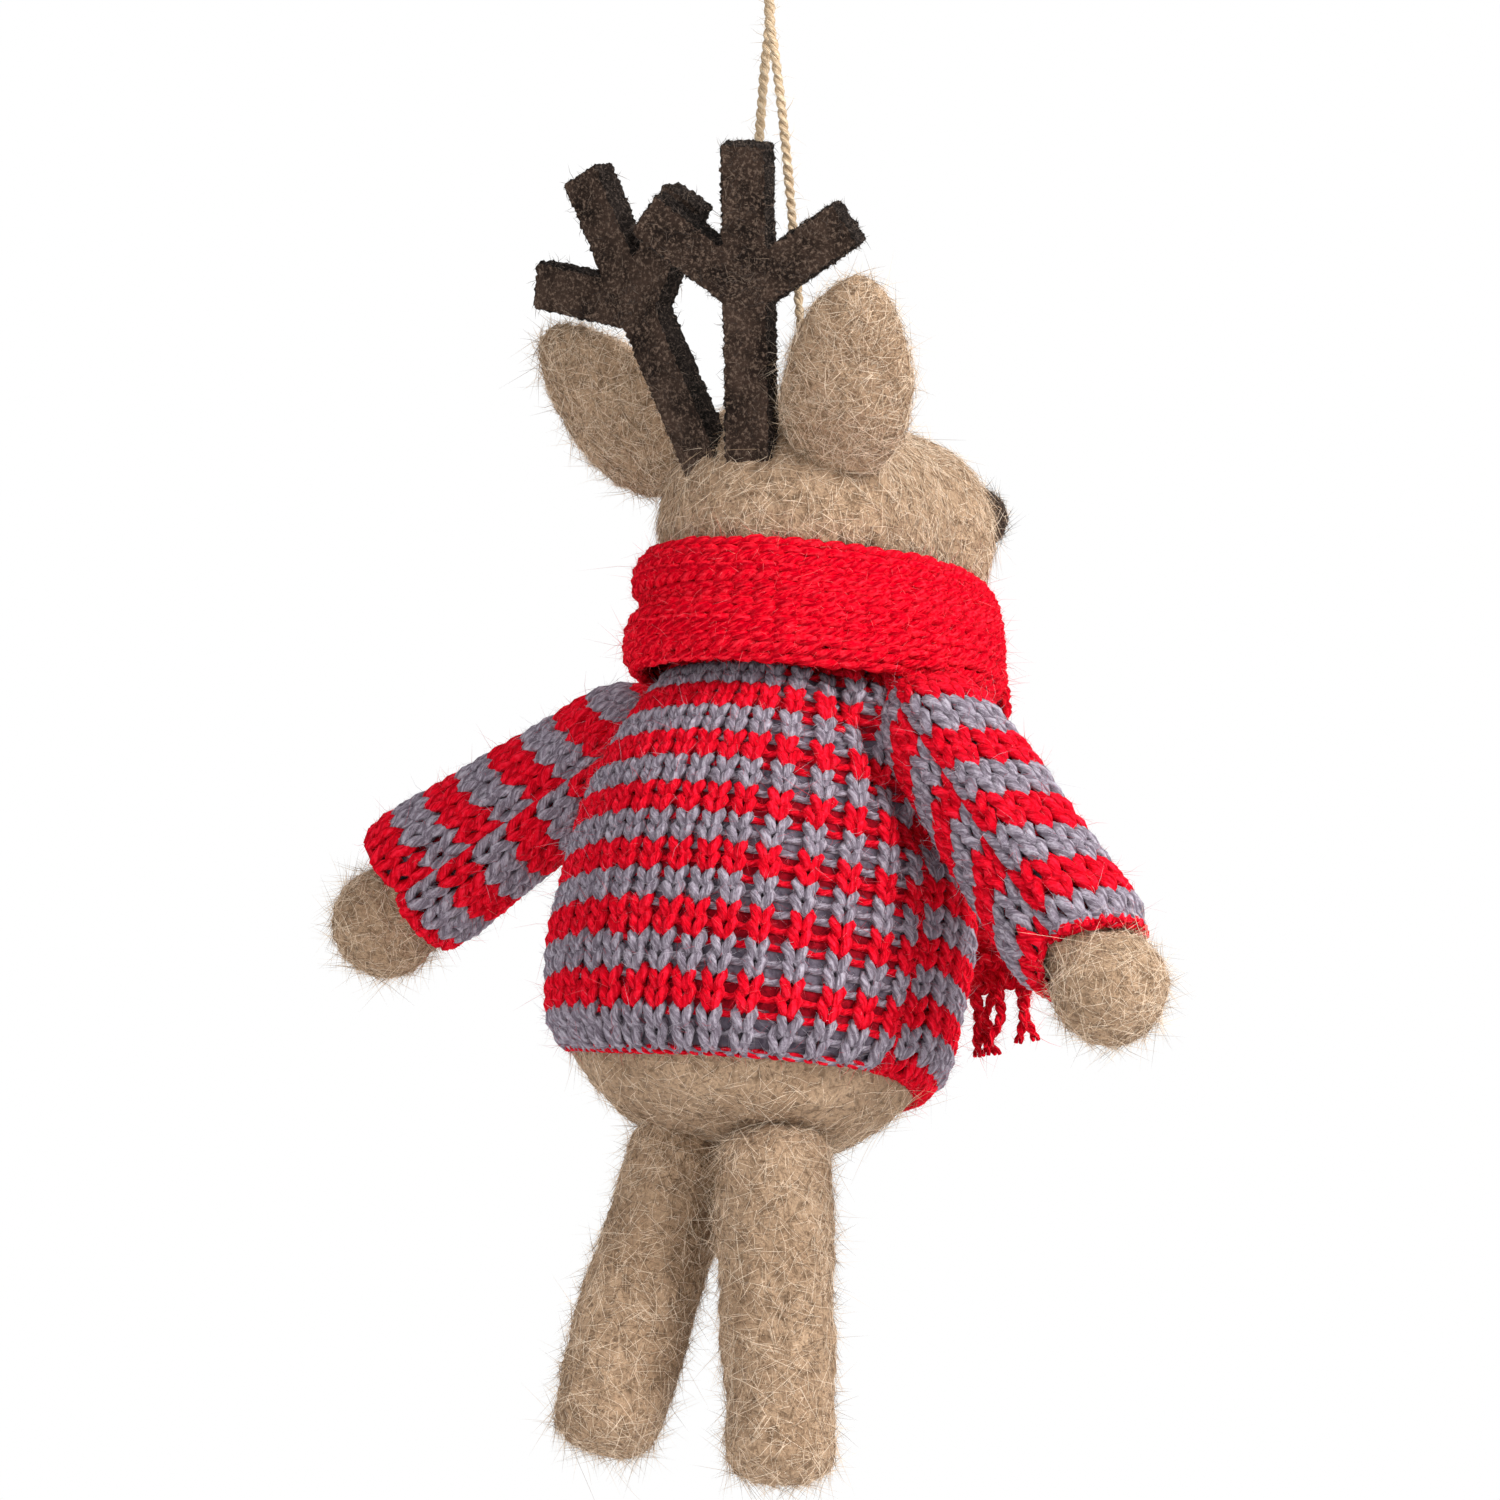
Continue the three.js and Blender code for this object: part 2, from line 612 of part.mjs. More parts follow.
// The wrap sags at the back, so it turns about its own middle
const scarfMiddle = (scarfBottom + scarfTop) / 2;
const scarfMatrix = new THREE.Matrix4()
  .makeTranslation(0, 0, scarfMiddle)
  .multiply(new THREE.Matrix4().makeRotationX(-radians(SCARF_TILT_BACK)))
  .multiply(new THREE.Matrix4().makeTranslation(0, 0, -scarfMiddle));

function makeScarf() {
  const headInScarf = scarfMatrix.clone().invert().multiply(headMatrix);
  const wrap = solid(bandRing(0, scarfBottom, scarfTop));
  const lap = solid(bandRing(SCARF_THICKNESS + CLEARANCE, lapBottom, scarfTop - 2 * LAP_BELOW_WRAP));
  const scarf = groupAt(scarfMatrix);
  scarf.add(piece('scarf_wrap', cutBy(wrap, placed(headRoom(), headInScarf)), redYarn()));
  scarf.add(piece('scarf_lap', lap.intersect(solid(lapWedge())), redYarn()));
  return scarf;
}

// A tail's top, under the middle of the lap's lower edge at the tail's bearing
function tailPivot(side) {
  const outward = SCARF_THICKNESS / 2 + CLEARANCE + SCARF_LOWER_FLARE;
  const top = ovalPoint(TAIL_BEARING[side.name], outward, lapBottom - SCARF_THICKNESS / 2 - CLEARANCE);
  return top.applyMatrix4(scarfMatrix);
}

// A tail hangs from its own origin along -Z: a strip with a round top edge and a soft wave down its length
function tailStrip(side) {
  const half = SCARF_THICKNESS / 2;
  const length = TAIL_LENGTH[side.name];
  const wave = (share) => TAIL_WAVE * share * Math.sin(2 * Math.PI * share);
  const face = (edge) => steps(6, (share) => new THREE.Vector2(edge * half - wave(share), -length * share));
  const round = steps(5, (share) => {
    return new THREE.Vector2(half * Math.cos(Math.PI * share), half * Math.sin(Math.PI * share));
  });
  const section = new THREE.Shape([...face(-1).slice(1), ...face(1).slice(1).reverse(), ...round]);
  const strip = new THREE.ExtrudeGeometry(section, { depth: TAIL_WIDTH, bevelEnabled: false });
  return strip.translate(0, 0, -TAIL_WIDTH / 2).rotateY(Math.PI / 2).rotateX(Math.PI / 2);
}

// A fringe: a knotted header along the tail's lower edge, with strands that spread and hang unevenly
function fringeBody(side) {
  const top = -TAIL_LENGTH[side.name] - CLEARANCE;
  const header = new THREE.BoxGeometry(TAIL_WIDTH, FRINGE_HEADER, FRINGE_HEADER);
  let body = solid(header.translate(0, 0, top - FRINGE_HEADER / 2));
  for (let i = 0; i < FRINGE_STRANDS; i += 1) {
    const share = (2 * i) / (FRINGE_STRANDS - 1) - 1;
    const x = share * (TAIL_WIDTH / 2 - FRINGE_STRAND_RADIUS);
    const length = FRINGE_LENGTH * (0.8 + 0.2 * Math.cos(5 * i));
    const points = [
      vector(x, 0, top - FRINGE_HEADER / 2),
      vector(x * 1.08, 0.2 * Math.sin(3 * i), top - FRINGE_HEADER - 0.5 * length),
      vector(x * 1.16, -0.2 * Math.sin(3 * i), top - FRINGE_HEADER - length),
    ];
    body = body.add(solid(yarnTube(FRINGE_STRAND_RADIUS, points, 5, 3)));
  }
  return body;
}

function makeTail(side) {
  const tail = new THREE.Group();
  tail.add(piece(`scarf_tail_${side.name}`, tailStrip(side), redYarn()));
  tail.add(piece(`scarf_fringe_${side.name}`, fringeBody(side), redYarn()));
  tail.rotation.y = -side.sign * radians(TAIL_DRIFT[side.name]);
  return tail;
}

// Twine loop, fixed in the ornament's own frame, which starts where the loop hangs on its hook

function makeLoop() {
  const slanted = (x, y, z) => vector(x, y + LOOP_SLANT * z, z);
  const up = LOOP_HALF_ROUTE.map(([x, y, z]) => slanted(x, y, z));
  const down = LOOP_HALF_ROUTE.map(([x, y, z]) => slanted(-x, -y, z)).reverse();
  const points = [...up, vector(...LOOP_TOP), ...down];
  return piece('hanging_loop', yarnTube(TWINE_RADIUS, points, 8, 60), twine());
}

// Assembly: the figure leans about the crown, and the scarf's tails hang straight down

const figure = new THREE.Group();
figure.add(...makeTorso(), ...makeSweater(), makeScarf(), makeHead());
figure.add(...SIDES.map(makeArm), ...SIDES.map(makeLeg));
figure.rotation.x = radians(FIGURE_LEAN);
const crownInFigure = crown(LOOP_STANDOFF).applyMatrix4(headMatrix);
const swingAxis = vector(0, LOOP_SLANT * LOOP_END[2], LOOP_END[2]);
figure.position.copy(swingAxis.sub(crownInFigure.applyEuler(figure.rotation)));
figure.updateMatrix();

const reindeer = new THREE.Group();
reindeer.add(makeLoop(), figure);
for (const side of SIDES) {
  const tail = makeTail(side);
  tail.position.copy(tailPivot(side).applyMatrix4(figure.matrix));
  reindeer.add(tail);
}

export default reindeer;
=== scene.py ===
"""Looks of a knitted reindeer ornament: yarn, felted wool, cut felt and twine built round its solid model."""
import json
import math

import bpy
import numpy as np
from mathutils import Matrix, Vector


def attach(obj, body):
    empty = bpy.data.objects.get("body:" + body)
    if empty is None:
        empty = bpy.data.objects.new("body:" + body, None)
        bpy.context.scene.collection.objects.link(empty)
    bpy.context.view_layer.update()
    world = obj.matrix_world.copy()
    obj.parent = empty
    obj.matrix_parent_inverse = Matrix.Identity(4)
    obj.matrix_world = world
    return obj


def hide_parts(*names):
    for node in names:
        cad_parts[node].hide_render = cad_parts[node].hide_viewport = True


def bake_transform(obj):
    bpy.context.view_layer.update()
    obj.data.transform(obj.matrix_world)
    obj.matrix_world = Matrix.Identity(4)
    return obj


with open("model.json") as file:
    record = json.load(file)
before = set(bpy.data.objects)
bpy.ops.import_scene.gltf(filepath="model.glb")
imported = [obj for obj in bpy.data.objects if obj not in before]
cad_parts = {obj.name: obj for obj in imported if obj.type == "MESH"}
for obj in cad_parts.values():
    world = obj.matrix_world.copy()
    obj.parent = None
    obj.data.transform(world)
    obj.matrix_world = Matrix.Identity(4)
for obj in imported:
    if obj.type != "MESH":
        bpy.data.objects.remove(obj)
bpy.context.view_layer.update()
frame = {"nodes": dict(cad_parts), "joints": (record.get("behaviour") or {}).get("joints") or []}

MM = 0.001
SIDES = {"left": 1, "right": -1}

# Sizes that the solid model is built to
SKIN = 1.8 * MM
CLEARANCE = 0.3 * MM
FIGURE_LEAN = 14
SHOULDER_BACK = 1.5 * MM
SHOULDER_HEIGHT = 23 * MM
SKULL_RADIUS = 14.4 * MM
CROWN_LEAN = 13
LOOP_STANDOFF = 0.8 * MM
MUZZLE_RADIUS = 11.2 * MM
MUZZLE_FORWARD = 15.8 * MM
NOSE_RISE = 14
NOSE_HALF = np.array([7, 4.2, 4.2]) * MM
EYE_RADIUS = 1.5 * MM
EYE_SINK = 0.4 * MM
EYE_ASIDE = 25
EYE_RISE = 46
EAR_LENGTH = 22.5 * MM
EAR_WIDTH = 13.6 * MM
EAR_THICKNESS = 6.6 * MM
EAR_ASIDE = 120
EAR_RISE = 24
EAR_POSE = {"left": (26, 36, 8), "right": (22, 24, 30)}
ANTLER_HEIGHT = 32 * MM
ANTLER_WIDTH = 5 * MM
ANTLER_THICKNESS = 3 * MM
ANTLER_FORK = 16.5 * MM
ANTLER_TINE = 13.6 * MM
ANTLER_TINE_TURN = 55
ANTLER_ROOT = 3 * MM
ANTLER_ASIDE = 3.3 * MM
ANTLER_RISE = 33
ANTLER_POSE = {"left": (10, 21, 1), "right": (14, 10, 18)}
TORSO_RADIUS = 20 * MM
TORSO_RISE = 35.5 * MM
TORSO_DROP = 19.6 * MM
SWEATER_THICKNESS = 2.2 * MM
SWEATER_HEM_BELOW = 12.5 * MM
SWEATER_HEM_TAPER = 1.3 * MM
SWEATER_BACK_DROP = 2.5 * MM
SWEATER_NECK = 29 * MM
ARM_POSE = {"left": (2, 58), "right": (-8, 42)}
ARM_RADIUS = 4.4 * MM
PAW_RADIUS = 5.8 * MM
PAW_AT = 36.5 * MM
SLEEVE_ROOT_RADIUS = 6.6 * MM
SLEEVE_CUFF_RADIUS = 7.6 * MM
SLEEVE_LENGTH = 30.5 * MM
SLEEVE_THICKNESS = 1.9 * MM
LEG_POSE = {"left": (1, 2.5), "right": (-14, 2.5)}
LEG_RADIUS = 5.6 * MM
LEG_TOE = 4 * MM
LEG_LENGTH = {"left": 31.5 * MM, "right": 33.5 * MM}
LEG_THIGH = {"left": 0.06, "right": 0.10}
LEG_HIP = {"left": 1.0, "right": 0.7}
LEG_HIP_SHIFT = {"left": np.array([-1.9, -1.5, 0]) * MM, "right": np.array([-0.3, -0.3, 0]) * MM}
SCARF_LEAN = 6
SCARF_HALF = np.array([17.6, 21.2]) * MM
SCARF_THICKNESS = 2.2 * MM
SCARF_BOTTOM = 30.2 * MM
SCARF_TOP = 43.2 * MM
LAP_OUT = 2.5 * MM
LAP_BEARINGS = (-44, 26)
LAP_BOTTOM = 28.6 * MM
LAP_TOP = 40 * MM
TAIL_WIDTH = 11 * MM
TAIL_LENGTH = 26.5 * MM
TAIL_WAVE = 0.7 * MM
TAIL_DRIFT = {"left": 0, "right": 8}
TAIL_BELOW_HINGE = 0.3 * MM
FRINGE_LENGTH = 8 * MM
TWINE_DIAMETER = 1.1 * MM
LOOP_SLANT = 1.5 / 47.6
LOOP_HALF_ROUTE = np.array([
    [3.8, 0, -47.6], [3.35, 0, -41], [2.8, -0.05, -33], [2.2, -0.1, -25],
    [1.55, -0.25, -17.5], [0.95, -0.45, -12], [0.6, -0.62, -9], [0.75, -0.85, -6.6],
    [1.3, -1.55, -3.9], [1.4, -1.7, -1.7], [0.85, -1.05, 0],
]) * MM
LOOP_TOP = np.array([[0, 0, 0.55]]) * MM

# Soft forms that the solid model leaves plain
TWINE_TUCK = np.array([[0.15, -0.1, -1.6]]) * MM
TWINE_TWIST = 2.5 * MM
TWINE_PLY_RADIUS = 0.29 * TWINE_DIAMETER
TWINE_PLY_OFFSET = 0.21 * TWINE_DIAMETER
SLIT_DEPTH = 1.5 * MM
SLIT_WAVES = 14
HEAD_FLEECE_BELOW = 13.5 * MM
BELLY_SAG = 1.2 * MM
BELLY_FULLNESS = 2.7
BELLY_BEARING = 129
BELLY_OVERHANG = 1.3 * MM
BELLY_OVERHANG_AT = 18.5 * MM
BELLY_OVERHANG_REACH = 3.2 * MM
TORSO_TUCK = 2 * MM
TORSO_FLEECE_TOP = -8 * MM
ARM_FLEECE_FROM = 25 * MM
ARMHOLE_DIP = 2.0 * MM
ARMHOLE_DIP_OUT = 0.9 * MM
ARMHOLE_DIP_REACH = 1.5 * MM
SWEATER_SEAM_DIP = 0.9 * MM
SWEATER_HEM_CURL = 1.5 * MM
SWEATER_HEM_CURL_REACH = 1.7 * MM
SWEATER_SIDE_RISE = 1.6 * MM
SLEEVE_SEAM_DIP = 1.0 * MM
SLEEVE_OVERLAP = 1.2 * MM
SCARF_BULGE = 0.55 * MM
SCARF_ROLL = 0.9 * MM
SCARF_FOLD = 1.5 * MM
SCARF_FLARE = 1.0 * MM
SCARF_FRONT_FLARE = 0.9 * MM
SCARF_SINK = (1.3 * MM, 1.0 * MM)
NECK_RADIUS = 9.2 * MM
NECK_HEIGHT = 31.5 * MM
FRINGE_TUCK = 1.2 * MM
FRINGE_SWAY = 1.3 * MM
FRINGE_PLY = 0.3 * MM
FRINGE_YARN = 0.36 * MM

# Gauge of the knitting, read off the photograph
STITCH_STEPS = 12
PANEL_WALES = 20
CLOSE_WALES = 15
SPREAD_WALES = 1.4
STITCH_WIDTH = 3.0 * MM
COURSE = 1.58 * MM
SWEATER_GAUGE = {"yarn": 0.58 * MM, "depth": 0.42 * MM, "rise": 0.76, "lean": 0.195, "pinch": 0.06}
SLEEVE_WALES = 16
SLEEVE_COURSE = 2.3 * MM
SLEEVE_GAUGE = {"yarn": 0.66 * MM, "depth": 0.36 * MM, "rise": 0.76, "lean": 0.22, "pinch": 0.04}
SLEEVE_SEAM = {"left": 127, "right": 94}
SLEEVE_CHEVRON = {"left": 3.2 * MM, "right": 5.4 * MM}
SLEEVE_CLIMB = 2
SLEEVE_FIRST = {"left": 0, "right": 1}
SLEEVE_FLARE = {"left": 0.8 * MM, "right": 0.2 * MM}
SLEEVE_GATHER = {"left": 0.3 * MM, "right": 1.1 * MM}
SLEEVE_LIFT = {
    "left": np.array([[0.6, 0.4, 0.8], [0.3, 0, 1.9]]) * MM,
    "right": np.array([[0, 0, 0.6], [0, 0, 0]]) * MM,
}
SCARF_WALES = 7
SCARF_COURSES = 51
LAP_COURSES = 12
TAIL_WALES = 6
TAIL_COURSES = 11
FRINGE_STRANDS = 6
SCARF_GAUGE = {"yarn": 0.67 * MM, "depth": 0.3 * MM, "rise": 0.74, "lean": 0.21, "pinch": 0.0}
SEAM_YARN = 0.42 * MM
EDGE_YARN = 0.26 * MM

# Numbers of fibres
TWINE_FIBRES = 420
HEAD_FIBRES = 18500
NOSE_FIBRES = 1500
NOSE_EDGE_FIBRES = 500
EAR_FIBRES = 7400
ANTLER_EDGE_FIBRES = 2600
ANTLER_FACE_FIBRES = 2300
TORSO_FIBRES = 6800
LEG_FIBRES = 9600
ARM_FIBRES = 4000

# Camera of the photograph, the lamps, the backdrop and the floor
CAMERA_AZIMUTH = 219
CAMERA_ELEVATION = -3
CAMERA_DISTANCE = 0.9
CAMERA_SENSOR = 36
CAMERA_NEAR = 0.05
PICTURE_WIDTH = 0.1575
CAMERA_AIM_RIGHT = -1.9 * MM
CAMERA_AIM_HEIGHT = -85.5 * MM
# Each lamp's name, its shares towards the camera, rightward and up, its distance, its size and its watts
LAMPS = (
    ("key", (0.72, 1.0, 0.85), 0.8, 0.36, 8.4),
    ("fill", (1.0, -0.7, 0.3), 0.9, 0.7, 2.6),
    ("rim", (-1.0, 0.2, 1.1), 0.8, 0.5, 2.6),
)
AMBIENT_COLOUR = (0.95, 0.97, 1.0, 1)
AMBIENT_STRENGTH = 0.55
FLOOR_RADIUS = 0.6
FLOOR_HEIGHT = -0.2
FLOOR_SIDES = 96


def unit(vectors):
    """Vectors scaled to a length of one."""
    return vectors / np.maximum(np.linalg.norm(vectors, axis=-1, keepdims=True), 1e-12)


def direction(bearing, rise):
    """Direction from two angles in degrees: the bearing, from -Y towards +X, and the rise above level."""
    bearing, rise = math.radians(bearing), math.radians(rise)
    level = math.cos(rise)
    return np.array([math.sin(bearing) * level, -math.cos(bearing) * level, math.sin(rise)])


def turn(axis, degrees):
    """Matrix of a turn about one axis of the frame: 0 for X, 1 for Y, 2 for Z."""
    cosine, sine = math.cos(math.radians(degrees)), math.sin(math.radians(degrees))
    matrix = np.eye(3)
    first, second = (axis + 1) % 3, (axis + 2) % 3
    matrix[first, first] = matrix[second, second] = cosine
    matrix[second, first], matrix[first, second] = sine, -sine
    return matrix


def pivot(joint):
    """Place of a joint of the solid model."""
    return np.array(next(entry["pos_m"] for entry in frame["joints"] if entry["name"] == joint))


FIGURE_TURN = turn(0, FIGURE_LEAN)
SHOULDERS = (pivot("left_arm_swing") + pivot("right_arm_swing")) / 2
TORSO_ORIGIN = SHOULDERS - FIGURE_TURN @ np.array([0, SHOULDER_BACK, SHOULDER_HEIGHT])
# The crown and the antlers' feet are rounded to the micrometre, as the places of joints are
PLACE_DIGITS = 6
CROWN = direction(180, 90 - CROWN_LEAN)
CROWN_REACH = math.sqrt((SKULL_RADIUS + LOOP_STANDOFF) ** 2 - LOOP_HALF_ROUTE[0, 0] ** 2)
HEAD_ORIGIN = pivot("loop_swing") - round(CROWN_REACH, PLACE_DIGITS) * CROWN
MUZZLE_ORIGIN = HEAD_ORIGIN - np.array([0, MUZZLE_FORWARD, 0])
ANTLER_UP = SKULL_RADIUS * math.sin(math.radians(ANTLER_RISE))
ANTLER_BACK = math.sqrt(SKULL_RADIUS ** 2 - ANTLER_ASIDE ** 2 - ANTLER_UP ** 2)
ANTLER_BASE = np.round([ANTLER_ASIDE, ANTLER_BACK, ANTLER_UP], PLACE_DIGITS)
SCARF_TURN = turn(0, SCARF_LEAN)
SCARF_MIDDLE = np.array([0, 0, (SCARF_BOTTOM + SCARF_TOP) / 2])
SCARF_ORIGIN = TORSO_ORIGIN + (FIGURE_TURN - SCARF_TURN) @ SCARF_MIDDLE


def limb_turn(side, pose):
    """How a limb hangs along its own -Z in the leaning figure: swung about X, then splayed about Y."""
    swing, splay = pose[side]
    return FIGURE_TURN @ turn(0, swing) @ turn(1, -SIDES[side] * splay)


def head_turn(side, pose):
    """How an ear or an antler stands up along its own Z: leaned about X, splayed about Y, twisted about Z."""
    lean, splay, twist = pose[side]
    return turn(0, -lean) @ turn(1, SIDES[side] * splay) @ turn(2, twist)


# Camera and light
towards = direction(CAMERA_AZIMUTH, CAMERA_ELEVATION)
rightward = np.array([math.cos(math.radians(CAMERA_AZIMUTH)), math.sin(math.radians(CAMERA_AZIMUTH)), 0])
aim = CAMERA_AIM_RIGHT * rightward + np.array([0, 0, CAMERA_AIM_HEIGHT])


def stand_facing(thing, name, facing, distance):
    """Adds a camera or a lamp at that distance from the ornament's middle, turned to face it."""
    placed = bpy.data.objects.new(name, thing)
    placed.location = aim + distance * facing
    placed.rotation_mode = "QUATERNION"
    placed.rotation_quaternion = Vector(-facing).to_track_quat("-Z", "Y")
    bpy.context.scene.collection.objects.link(placed)
    return placed


lens = bpy.data.cameras.new("camera")
lens.sensor_width = CAMERA_SENSOR
lens.lens = CAMERA_SENSOR * CAMERA_DISTANCE / PICTURE_WIDTH
lens.clip_start = CAMERA_NEAR
bpy.context.scene.camera = stand_facing(lens, "camera", towards, CAMERA_DISTANCE)
bpy.context.scene.view_settings.view_transform = "Standard"
for lamp_name, shares, lamp_distance, lamp_size, watts in LAMPS:
    softbox = bpy.data.lights.new(lamp_name, "AREA")
    softbox.size = lamp_size
    softbox.energy = watts
    lamp_facing = unit(np.array(shares) @ np.stack([towards, rightward, [0, 0, 1]]))
    stand_facing(softbox, lamp_name, lamp_facing, lamp_distance)


class Value:
    """A socket in a material's nodes; arithmetic on it adds Math nodes."""

    def __init__(self, finish, socket):
        self.finish = finish
        self.socket = socket

    def math(self, operation, other=0.0):
        return self.finish.node("ShaderNodeMath", {"operation": operation}, {0: self, 1: other})

    def __add__(self, other):
        return self.math("ADD", other)

    def __sub__(self, other):
        return self.math("SUBTRACT", other)

    def __mul__(self, other):
        return self.math("MULTIPLY", other)

    def __truediv__(self, other):
        return self.math("DIVIDE", other)

    def sine(self):
        return self.math("SINE")

    def between(self, low, high):
        """0 below low, 1 above high, straight between them."""
        ends = {0: self, 1: low, 2: high, 3: 0.0, 4: 1.0}
        return self.finish.node("ShaderNodeMapRange", {"clamp": True}, ends)


class Finish:
    """One material: a Principled shader, and the nodes that feed it."""

    def __init__(self, name, **constants):
        self.material = bpy.data.materials.new(name)
        self.material.use_nodes = True
        self.tree = self.material.node_tree
        self.shader = self.tree.nodes["Principled BSDF"]
        for socket, value in constants.items():
            self.set(socket.replace("_", " "), value)

    def feed(self, node, socket, value):
        """Gives a node's socket a plain value or a colour, or links a Value into it."""
        if isinstance(value, Value):
            self.tree.links.new(value.socket, node.inputs[socket])
        else:
            node.inputs[socket].default_value = (*value, 1) if isinstance(value, tuple) else value

    def set(self, socket, value):
        """Feeds one of the shader's sockets."""
        self.feed(self.shader, socket, value)

    def node(self, kind, settings=None, inputs=None, output=0):
        """Adds any node: its settings first, then each socket's value or link; gives back one output."""
        made = self.tree.nodes.new(kind)
        for name, value in (settings or {}).items():
            setattr(made, name, value)
        for socket, value in (inputs or {}).items():
            self.feed(made, socket, value)
        return Value(self, made.outputs[output])

    def spots_at(self, place, scale, detail, roughness):
        """Soft random spots over a vector."""
        inputs = {"Vector": place, "Scale": scale, "Detail": detail, "Roughness": roughness}
        return self.node("ShaderNodeTexNoise", {}, inputs)

    def noise(self, size, detail=2.0, roughness=0.6):
        """Soft random spots of about that size, over the piece's own place."""
        return self.spots_at(self.node("ShaderNodeTexCoord", output=3), 1 / size, detail, roughness)

    def along_and_around(self):
        """Distance along a yarn in metres, and the share of a turn round it, from its UV map."""
        split = self.node("ShaderNodeSeparateXYZ", {}, {0: self.node("ShaderNodeUVMap", {"uv_map": "yarn"})})
        return split, Value(self, split.socket.node.outputs[1])

    def mix(self, share, first, second):
        """Colour between two colours."""
        return self.node("ShaderNodeMix", {"data_type": "RGBA"}, {0: share, 6: first, 7: second}, 2)

    def bump(self, height, distance, strength=1.0):
        """Raised detail in the shader's normal."""
        inputs = {"Strength": strength, "Distance": distance, "Height": height}
        self.set("Normal", self.node("ShaderNodeBump", {}, inputs))


def felted_wool(name, dark, mid, light):
    """Matted fleece: cloudy tone and pale matted fibres; small pits between the felted stitches, and the
    slits, are darkened with painted shade.
    """
    finish = Finish(name, Roughness=0.95, Sheen_Weight=0.08, Sheen_Roughness=0.5, Specular_IOR_Level=0.08)
    cloud = finish.noise(7 * MM)
    matted = finish.noise(0.4 * MM, 3.0, 0.7)
    pits = finish.noise(1.1 * MM, 1.5).between(0.54, 0.68)
    tone = finish.mix(cloud.between(0.35, 0.65), mid, light)
    tone = finish.mix(matted.between(0.32, 0.54) * 0.75 + 0.25, dark, tone)
    # Painted shade: pits go towards the dark tone, and slits towards a third of it.
    slit = finish.node("ShaderNodeAttribute", {"attribute_name": "slit"}, output=2)
    deep = finish.mix(slit, dark, tuple(0.35 * share for share in dark))
    finish.set("Base Color", finish.mix((pits * 0.6 + slit).between(0.0, 1.0), tone, deep))
    finish.bump(matted - pits * 0.5, 0.5 * MM, 0.9)
    return finish


def spun_yarn(name, dark, mid, light, ply_pitch):
    """Plied yarn: two plies that wind round it show as slanting ridges, with a soft uneven tone. The dark
    tone in the grooves between the plies is painted shade, and the light tone on the palest fibre streaks is
    painted highlight.
    """
    finish = Finish(name, Roughness=0.95, Specular_IOR_Level=0.02)
    along, around = finish.along_and_around()
    ply = (along * (2 * math.pi / ply_pitch) + around * (4 * math.pi)).sine() * 0.5 + 0.5
    slanted = {0: along / (1.6 * MM), 1: around * 9 + along * (4.5 / ply_pitch)}
    fibres = finish.spots_at(finish.node("ShaderNodeCombineXYZ", {}, slanted), 1.0, 3.0, 0.7)
    wool = finish.noise(0.5 * MM, 3.0, 0.7)
    # Darker and paler streaks along the fibres; the light tone on the palest is painted highlight.
    tone = finish.mix(fibres.between(0.32, 0.50), dark, mid)
    tone = finish.mix((wool * 0.4 + fibres * 0.6).between(0.47, 0.62), tone, light)
    # Painted shade: the grooves between the plies take the dark tone.
    finish.set("Base Color", finish.mix(ply.between(-0.1, 0.25), dark, tone))
    finish.bump(ply * 0.8 + fibres * 1.2 + wool * 0.6, 0.3 * MM, 1.0)
    return finish


def painted_shade_sheet(name, dark, light, stripe=None):
    """A dark sheet under the knitting, coloured with painted shade where it shows between the stitches. A
    stripe of another colour, painted shade of the grey yarn, fills two courses in four."""
    finish = Finish(name, Roughness=0.95, Specular_IOR_Level=0.05)
    weave = finish.noise(0.8 * MM, 2.0)
    tone = finish.mix(weave.between(0.35, 0.65), dark, light)
    if stripe:
        courses, _ = finish.along_and_around()
        wave = ((courses + weave * 0.6 - 0.3) * (math.pi / 2)).sine()
        tone = finish.mix(wave.between(-0.2, 0.2), tone, finish.mix(weave.between(0.35, 0.65), *stripe))
    finish.set("Base Color", tone)
    finish.bump(weave, 0.3 * MM)
    return finish


def cut_felt(name, dark, mid, light, grain):
    """Pressed felt: close matted grain with paler fibres through it."""
    finish = Finish(name, Roughness=0.95, Specular_IOR_Level=0.06)
    cloud = finish.noise(3.5 * MM, 3.0)
    fine = finish.noise(grain, 4.0, 0.75)
    tone = finish.mix(cloud.between(0.35, 0.65), dark, mid)
    finish.set("Base Color", finish.mix(fine.between(0.5, 0.68), tone, light))
    finish.bump(fine, 0.5 * MM, 1.0)
    return finish


def hair(name, colour):
    """The finish of one kind of fibre."""
    return Finish(name, Base_Color=colour, Roughness=0.8, Specular_IOR_Level=0.2)


WOOL = felted_wool("felted taupe wool", (0.155, 0.093, 0.051), (0.40, 0.26, 0.159), (0.545, 0.37, 0.237))
WOOL_HAIR = [
    hair("pale fleece fibre", (0.94, 0.76, 0.58)),
    hair("taupe fleece fibre", (0.60, 0.42, 0.272)),
    hair("brown fleece fibre", (0.22, 0.135, 0.074)),
]
